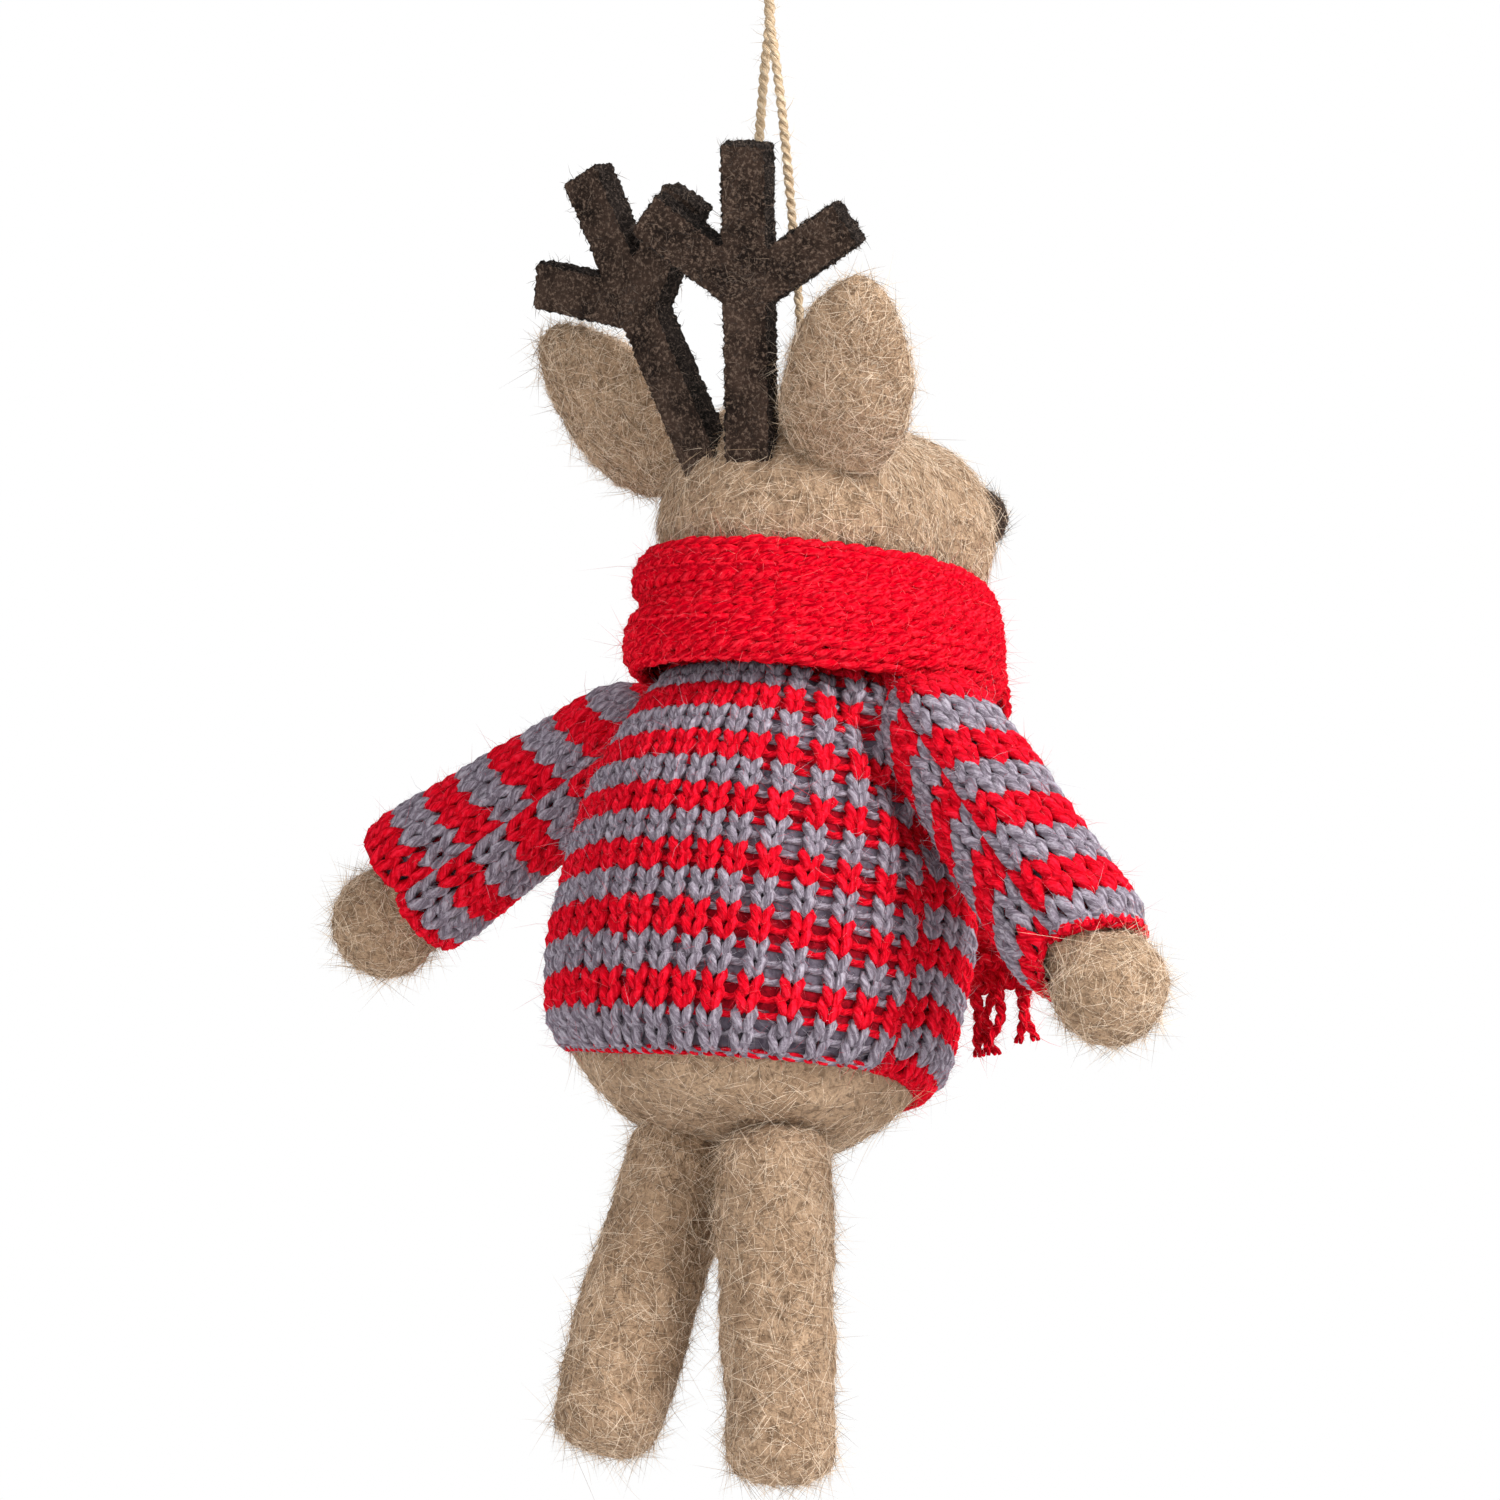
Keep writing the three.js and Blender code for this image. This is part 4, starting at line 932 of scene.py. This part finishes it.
def antler(side):
    """Antler cut from thick felt: its outline, stepped finely, is a rim of rough rows through the thickness
    between two flat faces; each rim point moves in or out at random as cut fibres do."""
    sign = SIDES[side]
    name = side + "_felt_antler"
    stand = head_turn(side, ANTLER_POSE)
    base = HEAD_ORIGIN + ANTLER_BASE * np.array([sign, 1, 1])
    corners = antler_outline()
    closed = np.concatenate([corners, corners[:1]])
    run = np.concatenate([[0], np.cumsum(np.linalg.norm(np.diff(closed, axis=0), axis=1))])
    steps = int(run[-1] / (0.28 * MM))
    at = np.linspace(0, run[-1], steps, endpoint=False)
    line = np.stack([np.interp(at, run, closed[:, axis]) for axis in range(2)], -1)
    line = (np.roll(line, 1, axis=0) + 2 * line + np.roll(line, -1, axis=0)) / 4
    ahead = unit(np.roll(line, -1, axis=0) - np.roll(line, 1, axis=0))
    outward = np.stack([ahead[:, 1], -ahead[:, 0]], -1)
    random = np.random.default_rng(51 + sign)
    depth = np.linspace(-0.5, 0.5, 11)[:, None]
    rough = random.normal(0, 0.11 * MM, (len(depth), steps)) - (np.abs(depth) > 0.45) * 0.16 * MM
    rim = line + outward * rough[..., None]
    thick = depth * ANTLER_THICKNESS + random.normal(0, 0.05 * MM, rough.shape)
    points = np.stack([rim[..., 0] * sign, thick, rim[..., 1]], -1) @ stand.T + base
    points = points.reshape(-1, 3)
    index = np.arange(len(points)).reshape(rough.shape)
    quads = quads_round(index)
    faces = [quads, index[:1, ::-1], index[-1:]]
    finish_of_face = np.concatenate([np.ones(len(quads), int), [0, 0]])
    piece = make_piece(name, points, faces, [FELT_FACE, FELT_EDGE], "figure", finish_of_face,
                       flat_faces=finish_of_face == 0)
    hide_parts(side + "_antler")
    cut_spots = spots((points, faces), ANTLER_EDGE_FIBRES, random)
    hairs(name + "_edge_fibres", cut_spots, random, FELT_HAIR, "figure",
          length=(0.25 * MM, 0.6 * MM), lift=(15, 80), curl=0.3, thickness=0.08 * MM, segments=1)
    chosen = branch_spots(ANTLER_FACE_FIBRES, random)
    front = random.choice([-1.0, 1.0], ANTLER_FACE_FIBRES)
    place = np.stack([chosen[:, 0] * sign, front * ANTLER_THICKNESS * 0.49, chosen[:, 1]], -1)
    facing = np.stack([0 * front, front, 0 * front], -1)
    hairs(name + "_face_fibres", (place @ stand.T + base, facing @ stand.T), random, FELT_HAIR, "figure",
          length=(0.5 * MM, 1.8 * MM), lift=(3, 14), curl=0.2, thickness=0.06 * MM)


head()
nose_and_eyes()
for side in SIDES:
    ear(side)
    antler(side)


# Torso, limbs and sweater
def torso_radius(height):
    """Radius of the egg-shaped torso: half an ellipse above the widest ring and half a shorter one below."""
    reach = np.where(height > 0, TORSO_RISE, TORSO_DROP)
    return TORSO_RADIUS * np.sqrt(np.clip(1 - (height / reach) ** 2, 0, 1))


def torso():
    """The stuffed body: egg-shaped and a little slack under the sweater, and below its widest ring a belly
    whose radius is that of a superellipse, (1 - (depth / drop)^2.7)^(1 / 2.7), so it sits full and flat on
    the hips; it hangs over at one side."""
    angle = np.linspace(0, math.pi, 104)
    belly = TORSO_DROP + BELLY_SAG
    height = np.where(angle < math.pi / 2, TORSO_RISE * 0.93, belly) * np.cos(angle)
    depth = np.abs(np.minimum(height, 0) / belly)
    full = TORSO_RADIUS * np.clip(1 - depth ** BELLY_FULLNESS, 0, 1) ** (1 / BELLY_FULLNESS)
    slack = TORSO_TUCK * np.clip((height + 4 * MM) / (8 * MM), 0, 1)
    radius = np.maximum(np.where(height < 0, full, torso_radius(height)) - slack, 0)
    rings = lathe(radius * (np.sin(angle) > 1e-6), height, 126)
    bearing = np.arctan2(rings[..., 1], rings[..., 0])
    overhang = np.maximum(np.cos(bearing - math.radians(BELLY_BEARING)), 0) * BELLY_OVERHANG
    overhang = overhang * np.exp(-((height + BELLY_OVERHANG_AT) / BELLY_OVERHANG_REACH) ** 2)[:, None]
    rings = rings + overhang[..., None] * unit(rings * np.array([1, 1, 0]))
    skin = wool_skin("torso", rings @ FIGURE_TURN.T + TORSO_ORIGIN, 0.4 * MM, 61, "figure",
                     ["torso_skin", "torso_stuffing"])

    def below_hem(place):
        return (place - TORSO_ORIGIN) @ FIGURE_TURN[:, 2] < TORSO_FLEECE_TOP

    fleece("torso", skin, "figure", TORSO_FIBRES, 62, (17 * MM, np.zeros(3)), below_hem, comb=0.3)


def limb(name, radius, height, stand, shift, lump, seed):
    """A stuffed limb turned to a profile, hung from its joint and shifted along its length."""
    rings = lathe(radius, height, 84) @ stand.T + pivot(name + "_swing") + shift
    return wool_skin(name, rings, lump, seed, name, [name + "_skin", name + "_stuffing"])


def leg(side):
    """A stuffed tube with a low round hip and a blunt toe; its radius swells at the thigh and a little at the
    foot, and its line bends in towards the hip by shift * (1 - share)^1.5."""
    sign = SIDES[side]
    name = side + "_leg"
    ankle = LEG_LENGTH[side] - LEG_TOE
    quarter = np.linspace(0, math.pi / 2, 22)
    straight = np.linspace(0, 1, 60)[1:-1]
    sole = np.linspace(LEG_RADIUS - LEG_TOE, 0, 9)[1:]
    radius = np.concatenate([LEG_RADIUS * np.sin(quarter), np.full(len(straight), LEG_RADIUS),
                             LEG_RADIUS - LEG_TOE + LEG_TOE * np.cos(quarter), sole])
    height = np.concatenate([LEG_HIP[side] * LEG_RADIUS * np.cos(quarter), -straight * ankle,
                             -ankle - LEG_TOE * np.sin(quarter), np.full(len(sole), -LEG_LENGTH[side])])
    share = np.clip(-height / LEG_LENGTH[side], 0, 1)
    swell = 1 + LEG_THIGH[side] * np.exp(-(share / 0.4) ** 2) + 0.03 * np.sin(share * math.pi * 1.4 - 0.9)
    shift = ((1 - share) ** 1.5)[:, None, None] * LEG_HIP_SHIFT[side]
    stand = limb_turn(side, LEG_POSE)
    skin = limb(name, radius * swell, height, stand, shift, 0.32 * MM, 71 + sign)
    fleece(name, skin, name, LEG_FIBRES, 73 + sign, (LEG_RADIUS, 0.6 * stand[:, 2]), comb=0.5)


def arm(side):
    """A stuffed tube with a round shoulder that ends in a round paw."""
    sign = SIDES[side]
    name = side + "_arm"
    shoulder = np.linspace(0, math.pi / 2, 20)
    paw = np.linspace(math.asin(ARM_RADIUS / PAW_RADIUS), math.pi, 60)
    paw_height = -PAW_AT + PAW_RADIUS * np.cos(paw)
    straight = np.linspace(0, paw_height[0], 40)[1:-1]
    radius = np.concatenate([ARM_RADIUS * np.sin(shoulder), np.full(len(straight), ARM_RADIUS),
                             PAW_RADIUS * np.sin(paw)])
    height = np.concatenate([ARM_RADIUS * np.cos(shoulder), straight, paw_height])
    stand = limb_turn(side, ARM_POSE)
    skin = limb(name, radius, height, stand, 0, 0.3 * MM, 81 + sign)

    def past_cuff(place):
        return (place - pivot(name + "_swing")) @ stand[:, 2] < -ARM_FLEECE_FROM

    fleece(name, skin, name, ARM_FIBRES, 83 + sign, (PAW_RADIUS, np.zeros(3)), past_cuff)


torso()
for side in SIDES:
    leg(side)
    arm(side)


def sweater_radius(height):
    """Radius of the middle of the sweater's cloth: the torso's above the widest ring, a parabola below it."""
    widest = TORSO_RADIUS + CLEARANCE
    below = widest - SWEATER_HEM_TAPER * (height / SWEATER_HEM_BELOW) ** 2
    return np.where(height >= 0, torso_radius(height) + CLEARANCE, below) + SWEATER_THICKNESS / 2


SWEATER_HEIGHTS = np.linspace(-SWEATER_HEM_BELOW, SWEATER_NECK + 2.5 * MM, 300)
SWEATER_STEPS = np.hypot(np.diff(SWEATER_HEIGHTS), np.diff(sweater_radius(SWEATER_HEIGHTS)))
SWEATER_RUN = np.concatenate([[0], np.cumsum(SWEATER_STEPS)])
SWEATER_COURSES = int(SWEATER_RUN[-1] / COURSE)


def wale_bearings():
    """Stitch counts across a panel and the bearings they lie at: each wale's stitch keeps its own width, and
    the wales past the close ones stand apart, so that rungs of yarn show between them."""
    wale = np.arange(PANEL_WALES)
    room = np.where(wale < CLOSE_WALES, 1.0, SPREAD_WALES)
    middle = (np.cumsum(room) - room / 2) / room.sum() * math.pi
    half = 0.3 * STITCH_WIDTH / (TORSO_RADIUS + SWEATER_THICKNESS / 2)
    counts = np.stack([wale + 0.2, wale + 0.8], -1).ravel()
    bearings = np.stack([middle - half, middle + half], -1).ravel()
    return np.concatenate([[0], counts, [PANEL_WALES]]), np.concatenate([[0], bearings, [math.pi]])


def armhole_dip(place):
    """How far the cloth dips where the sleeves are sewn in: a soft groove just past a sleeve's radius from
    each arm's line."""
    dip = np.zeros(place.shape[:-1])
    for side in SIDES:
        off = place - pivot(side + "_arm_swing")
        line = limb_turn(side, ARM_POSE)[:, 2]
        away = np.linalg.norm(off - (off @ line)[..., None] * line, axis=-1)
        from_seam = (away - SLEEVE_ROOT_RADIUS - ARMHOLE_DIP_OUT) / ARMHOLE_DIP_REACH
        dip = dip + ARMHOLE_DIP * np.exp(-from_seam ** 2)
    return dip


def sweater_cloth(panel):
    """One panel of the sweater: stitches go half round the torso, courses go up from the hem by distance
    along the cloth; the hem curls in and drops at the back, and the cloth dips into seams and armholes."""
    start = 0 if panel == "back" else math.pi
    slip = 0 if panel == "back" else 1
    counts, bearings = wale_bearings()

    def cloth(across, up):
        bearing = start + np.interp(across, counts, bearings)
        run = (up + slip) * COURSE
        height = np.interp(run, SWEATER_RUN, SWEATER_HEIGHTS) + np.minimum(run, 0)
        edge = np.minimum(across, PANEL_WALES - across)
        seam = SWEATER_SEAM_DIP * np.exp(-(np.maximum(edge, 0) / 0.6) ** 2)
        curl = SWEATER_HEM_CURL * np.exp(-(np.maximum(run, 0) / SWEATER_HEM_CURL_REACH) ** 2)
        within = np.clip(height, -SWEATER_HEM_BELOW * 1.1, SWEATER_HEIGHTS[-1])
        radius = sweater_radius(within) - seam - curl
        outward = np.stack([np.cos(bearing), np.sin(bearing), 0 * bearing], -1)
        soft = TORSO_RADIUS * outward + np.stack([0 * height, 0 * height, height], -1)
        radius = radius + 0.28 * MM * lumps(soft, 15 * MM, 91)
        drop = SWEATER_BACK_DROP * np.maximum(np.sin(bearing), 0)
        drop = drop - SWEATER_SIDE_RISE * np.maximum(np.cos(bearing - 0.2), 0) ** 2
        drop = drop * np.clip(-height / SWEATER_HEM_BELOW, 0, 1.2)
        place = radius[..., None] * outward + np.stack([0 * height, 0 * height, height - drop], -1)
        dip = armhole_dip(place @ FIGURE_TURN.T + TORSO_ORIGIN)
        return (place - dip[..., None] * outward) @ FIGURE_TURN.T + TORSO_ORIGIN

    return cloth


def seam_yarn(cloth, first, last):
    """Sewing yarn up both edges of a panel: it weaves across the edge once a course."""
    up = np.linspace(first, last, (last - first) * 10 + 1)
    sway = 0.12 * np.sin(2 * math.pi * up)
    edges = np.stack([0.1 + sway, PANEL_WALES - 0.1 - sway])
    level = np.broadcast_to(up, edges.shape)
    normal = cloth_normal(cloth, edges, level)
    return tubes(cloth(edges, level) + normal * 0.1 * MM, normal, SEAM_YARN)


def bound_edge(cloth, wales, first=0):
    """Two strands of a bound edge, wound round each other once a stitch below the first course."""
    across = np.linspace(0.02, wales - 0.02, wales * STITCH_STEPS + 1)
    wind = across * 2 * math.pi
    lines = np.stack([cloth(across, first - 0.2 + 0.15 * np.cos(wind + phase)) for phase in (0, math.pi)])
    normal = cloth_normal(cloth, across, np.full(across.shape, float(first)), below=0)
    out = 0.2 * MM * np.stack([np.sin(wind), -np.sin(wind)]) - 0.25 * MM
    return tubes(lines + normal * out[..., None], np.stack([normal, normal]), EDGE_YARN)


def striped_yarn(name, cloth, wales, courses, is_red, edging, gauge, body, seeds):
    """Grey and red yarn of a striped cloth, with the red edging, each with its fibres."""
    pieces = []
    for colour, finish, fibres, chosen, more in (
        ("grey", GREY, GREY_HAIR, courses[~is_red], []),
        ("red", RED, RED_HAIR, courses[is_red], edging),
    ):
        parts = [knit(cloth, wales, chosen, seeds[0], **gauge), *more]
        pieces += knitted(name + "_" + colour + "_yarn", parts, finish, body, fibres, 0.11, seeds[1])
    return pieces


def sweater(panel):
    """A striped panel: two courses of grey and two of red in turn from the hem, with a red bound edge."""
    cloth = sweater_cloth(panel)
    name = "sweater_" + panel
    seed = 95 if panel == "back" else 96
    first = 0 if panel == "back" else -1
    last = first + SWEATER_COURSES
    # The dark sheet under the yarn is painted shade between the stitches.
    base = cloth_sheet(name + "_cloth", cloth, np.linspace(0, PANEL_WALES, 90),
                       np.linspace(first - 0.2, last - 0.2, 60), STRIPED_SHADE_SHEET, "figure", -0.35 * MM)
    courses = np.arange(first, last)
    edging = [bound_edge(cloth, PANEL_WALES, first), seam_yarn(cloth, first, last)]
    pieces = striped_yarn(name, cloth, PANEL_WALES, courses, courses // 2 % 2 == 1, edging, SWEATER_GAUGE,
                          "figure", (seed, seed))
    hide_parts(name)


for panel in ("front", "back"):
    sweater(panel)


def sleeve_cloth(side):
    """A sleeve about its arm: courses go up from the cuff and sag away from the seam, where the cloth dips:
    distance down the arm = cuff - courses + sag * sine of the bearing from the seam, up to a quarter turn.
    The courses climb as they go round, so stripes meet out of step at the seam; what would pass the cuff is
    gathered at it. The root narrows inside the sweater."""
    seam = math.radians(SLEEVE_SEAM[side])
    stand = limb_turn(side, ARM_POSE)
    root_lift, cuff_lift = SLEEVE_LIFT[side]

    def cloth(across, up):
        away = 2 * math.pi * across / SLEEVE_WALES
        bearing = seam + away
        off = np.minimum(np.abs(away), np.abs(2 * math.pi - away))
        up = up - SLEEVE_CLIMB * (1 - across / SLEEVE_WALES)
        up = np.where(up < 0, up * 0.12, up)
        sag = SLEEVE_CHEVRON[side] * np.clip(0.4 + up / 8, 0.4, 1)
        down = SLEEVE_LENGTH + SLEEVE_OVERLAP - up * SLEEVE_COURSE
        down = down + sag * (np.sin(np.minimum(off, math.pi / 2)) - 0.72)
        share = np.clip(down / SLEEVE_LENGTH, 0, 1.2)
        near_cuff = np.clip(share, 0, 1)
        radius = SLEEVE_ROOT_RADIUS + (SLEEVE_CUFF_RADIUS - SLEEVE_ROOT_RADIUS) * share - SLEEVE_THICKNESS / 2
        radius = radius - SLEEVE_SEAM_DIP * np.exp(-(off / 0.16) ** 2)
        radius = radius - SLEEVE_GATHER[side] * np.exp(-(np.maximum(up, 0) / 0.8) ** 2)
        radius = radius * (1 - 0.7 * np.clip((1.5 * MM - down) / (7 * MM), 0, 1) ** 2)
        radius = radius + SLEEVE_FLARE[side] * near_cuff ** 2
        place = np.stack([radius * np.cos(bearing), radius * np.sin(bearing), -down], -1)
        place = place + 0.3 * MM * lumps(place, 14 * MM, 97)[..., None] * unit(place * np.array([1, 1, 0]))
        lift = root_lift * (1 - near_cuff)[..., None] + cuff_lift * near_cuff[..., None]
        return place @ stand.T + pivot(side + "_arm_swing") + lift

    return cloth


def sleeve(side):
    """A striped sleeve, closed by a seam along its back."""
    cloth = sleeve_cloth(side)
    name = side + "_sleeve"
    line = limb_turn(side, ARM_POSE)[:, 2]
    root = pivot(side + "_arm_swing")
    rows = int(SLEEVE_LENGTH / SLEEVE_COURSE) + 4
    # The dark sheet under the yarn is painted shade between the stitches.
    base = cloth_sheet(name + "_cloth", cloth, np.linspace(0, SLEEVE_WALES, 60), np.linspace(-0.2, rows, 40),
                       STRIPED_SHADE_SHEET, None, -0.6 * MM)
    courses = np.arange(rows)
    is_red = (courses + SLEEVE_FIRST[side]) // 2 % 2 == 0
    pieces = striped_yarn(name, cloth, SLEEVE_WALES, courses, is_red, [bound_edge(cloth, SLEEVE_WALES)],
                          SLEEVE_GAUGE, None, (98, 99))
    for piece in [base, *pieces]:
        root + line * 2 * MM
        root - line * 9 * MM
        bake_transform(piece)
    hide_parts(name)


for side in SIDES:
    sleeve(side)


# Scarf
def scarf_cloth(bearings, top, bottom, out, courses):
    """A band round the neck: the stitches go down it and the courses go round it, on an oval. The band bulges
    between its rolled edges, flares a little downward, and folds at the back left."""

    def cloth(across, up):
        bearing = np.radians(bearings[0] + (bearings[1] - bearings[0]) * up / courses)
        share = across / SCARF_WALES
        roll = np.exp(-(share / 0.09) ** 2) + np.exp(-((1 - share) / 0.09) ** 2)
        fold = np.maximum(np.cos(bearing - math.radians(45)), 0) ** 1.2
        fold = np.exp(-((share - 0.46) / 0.11) ** 2) * fold
        flare = SCARF_FLARE + SCARF_FRONT_FLARE * np.maximum(np.cos(bearing - math.radians(210)), 0)
        bulge = SCARF_BULGE * np.sin(math.pi * np.clip(share, 0, 1))
        bulge = bulge - SCARF_ROLL * roll - SCARF_FOLD * fold + flare * share
        wide, deep = SCARF_HALF - SCARF_THICKNESS / 2 + out
        soft = np.stack([wide * np.cos(bearing), deep * np.sin(bearing), 0 * bearing + across * 2 * MM], -1)
        bulge = bulge + 0.35 * MM * lumps(soft, 16 * MM, 101)
        sink = SCARF_SINK[0] * (1 - share) + SCARF_SINK[1] * share
        height = top - (top - bottom) * share - sink
        place = np.stack([(wide + bulge) * np.cos(bearing), (deep + bulge) * np.sin(bearing), height], -1)
        return place @ SCARF_TURN.T + SCARF_ORIGIN

    return cloth


def turned_in(cloth, courses):
    """The lower edge of the neck wrap, turned in to the neck: straight lines from a ring near the wrap's
    lower edge to a ring inside the top of the torso, at the same bearings, with a small rise between."""
    up = np.linspace(0, courses, 160, endpoint=False)
    outer = cloth(np.full(up.shape, SCARF_WALES - 0.9), up)
    bearing = np.radians(-90 + 360 * up / courses)
    neck = NECK_RADIUS * np.stack([np.cos(bearing), np.sin(bearing), 0 * bearing], -1)
    neck = (neck + np.array([0, 0, NECK_HEIGHT])) @ FIGURE_TURN.T + TORSO_ORIGIN
    share = np.linspace(0, 1, 14)[:, None, None]
    rows = outer * (1 - share) + neck * share + np.array([0, 0, 0.8 * MM]) * np.sin(math.pi * share)
    quads = quads_round(np.arange(rows[..., 0].size).reshape(rows.shape[:2]))
    run = np.stack(np.broadcast_arrays(up, share[:, 0]), -1).reshape(-1, 2)
    # The turned-in edge takes the dark sheet's painted shade.
    return make_piece("scarf_wrap_turned_in_edge", rows, [quads], [SCARF_SHADE_SHEET], "figure", uvs=[run[quads]])


def scarf_band(name, cloth, courses):
    """A band of the scarf: its cloth, a dark sheet of painted shade, the plump yarn over it and the fibres
    that stand off it.
    """
    base = cloth_sheet(name + "_cloth", cloth, np.linspace(0.1, SCARF_WALES - 0.1, 24),
                       np.linspace(0, courses, courses * 3), SCARF_SHADE_SHEET, "figure", -0.55 * MM)
    parts = [knit(cloth, SCARF_WALES, np.arange(courses), 102, **SCARF_GAUGE)]
    pieces = knitted(name + "_yarn", parts, SCARF_RED, "figure", SCARF_HAIR, 0.10, 103)
    if name == "scarf_wrap":
        pieces.append(turned_in(cloth, courses))
    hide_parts(name)


wrap_cloth = scarf_cloth((-90, 270), SCARF_TOP, SCARF_BOTTOM, 0, SCARF_COURSES)
scarf_band("scarf_wrap", wrap_cloth, SCARF_COURSES)
lap_ends = (-90 - LAP_BEARINGS[1], -90 - LAP_BEARINGS[0])
lap_cloth = scarf_cloth(lap_ends, LAP_TOP, LAP_BOTTOM, LAP_OUT, LAP_COURSES)
scarf_band("scarf_lap", lap_cloth, LAP_COURSES)


def fringe_lines(random):
    """Strands of a fringe below a scarf end, each of two plies wound round its line; a strand's line sways at
    random, more towards its tip, by share^1.5."""
    share = np.linspace(0, 1, 22)
    start = ((np.arange(FRINGE_STRANDS) + 0.5) / FRINGE_STRANDS - 0.5)[:, None]
    sway = random.normal(0, 1, (FRINGE_STRANDS, 1, 2)) * share[:, None] ** 1.5 * FRINGE_SWAY
    length = (FRINGE_LENGTH + FRINGE_TUCK) * random.uniform(0.85, 1.0, (FRINGE_STRANDS, 1))
    line = np.stack([
        start * TAIL_WIDTH * 0.92 + sway[..., 0] + 0.3 * MM * np.sin(share * 9 + start * 20),
        0.6 * sway[..., 1] + 0.3 * MM * np.cos(share * 8 + start * 14),
        -TAIL_LENGTH + FRINGE_TUCK - share * length,
    ], -1)
    wind = share * 2 * math.pi * 3.2
    round_line = FRINGE_PLY * np.stack([np.cos(wind), np.sin(wind), 0 * wind], -1)
    return np.concatenate([line + round_line, line - round_line]), FRINGE_YARN * (1 - 0.35 * share ** 6)


def scarf_tail(side):
    """A hanging end of the scarf: a strip that waves by wave * share * sine of one turn, and its fringe."""
    sign = SIDES[side]
    body = "scarf_end_" + side
    name = "scarf_tail_" + side
    fringe_name = "scarf_fringe_" + side
    stand = turn(1, -sign * TAIL_DRIFT[side])
    hang = pivot(body + "_swing")

    def cloth(across, up):
        share = 1 - up / TAIL_COURSES
        wave = TAIL_WAVE * share * np.sin(2 * math.pi * share)
        aside = (across / TAIL_WALES - 0.5) * TAIL_WIDTH
        place = np.stack([aside, -wave, -TAIL_LENGTH * share - TAIL_BELOW_HINGE], -1)
        return place @ stand.T + hang

    # The dark sheet under the yarn is painted shade between the stitches.
    base = cloth_sheet(name + "_cloth", cloth, np.linspace(0.1, TAIL_WALES - 0.1, 20),
                       np.linspace(0.1, TAIL_COURSES - 0.1, 40), SCARF_SHADE_SHEET, body)
    parts = [knit(cloth, TAIL_WALES, np.arange(TAIL_COURSES), 112 + sign, **SCARF_GAUGE)]
    pieces = knitted(name + "_yarn", parts, SCARF_RED, body, SCARF_HAIR, 0.09, 113)
    lines, thick = fringe_lines(np.random.default_rng(114 + sign))
    lines = lines @ stand.T + hang
    strands = [tubes(lines, np.broadcast_to(np.array([0.2, -1, 0.1]), lines.shape), thick)]
    fringe = knitted(fringe_name + "_yarn", strands, SCARF_RED, body, SCARF_HAIR, 0.25, 115)
    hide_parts(name)
    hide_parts(fringe_name)


for side in SIDES:
    scarf_tail(side)

# The knot inside the head keeps the shape of its solid
knot_finish = cut_felt("knotted twine", (0.40, 0.26, 0.145), (0.66, 0.47, 0.29), (0.82, 0.65, 0.45), 0.6 * MM)
knot = frame["nodes"]["loop_knot"]
knot.data.materials.clear()
knot.data.materials.append(knot_finish.material)


# Floor and backdrop
def floor():
    """A pale round floor, well below the hanging feet."""
    finish = Finish("pale floor", Roughness=0.9, Specular_IOR_Level=0.1)
    tone = finish.noise(0.3, 2.0)
    finish.set("Base Color", finish.mix(tone, (0.80, 0.80, 0.80), (0.84, 0.84, 0.84)))
    bearing = np.linspace(0, 2 * math.pi, FLOOR_SIDES, endpoint=False)
    ring = FLOOR_RADIUS * np.stack([np.cos(bearing), np.sin(bearing), 0 * bearing], -1)
    ring = ring + np.array([0, 0, FLOOR_HEIGHT])
    mesh = bpy.data.meshes.new("floor")
    mesh.from_pydata(ring.tolist(), [], [list(range(FLOOR_SIDES))])
    mesh.materials.append(finish.material)
    piece = bpy.data.objects.new("floor", mesh)
    bpy.context.scene.collection.objects.link(piece)


def backdrop():
    """A soft pale sky that lights the ornament; rays from the camera, mirrored or let through see white."""
    world = bpy.data.worlds.new("studio")
    bpy.context.scene.world = world
    world.use_nodes = True
    nodes, links = world.node_tree.nodes, world.node_tree.links
    ambient = nodes["Background"]
    ambient.inputs["Color"].default_value = AMBIENT_COLOUR
    ambient.inputs["Strength"].default_value = AMBIENT_STRENGTH
    white = nodes.new("ShaderNodeBackground")
    white.inputs["Color"].default_value = (1, 1, 1, 1)
    rays = nodes.new("ShaderNodeLightPath")
    shows_white = rays.outputs["Is Camera Ray"]
    for kind in ("Is Glossy Ray", "Is Transmission Ray"):
        either = nodes.new("ShaderNodeMath")
        either.operation = "MAXIMUM"
        links.new(shows_white, either.inputs[0])
        links.new(rays.outputs[kind], either.inputs[1])
        shows_white = either.outputs[0]
    mixed = nodes.new("ShaderNodeMixShader")
    links.new(shows_white, mixed.inputs[0])
    links.new(ambient.outputs[0], mixed.inputs[1])
    links.new(white.outputs[0], mixed.inputs[2])
    links.new(mixed.outputs[0], nodes["World Output"].inputs["Surface"])


floor()
backdrop()
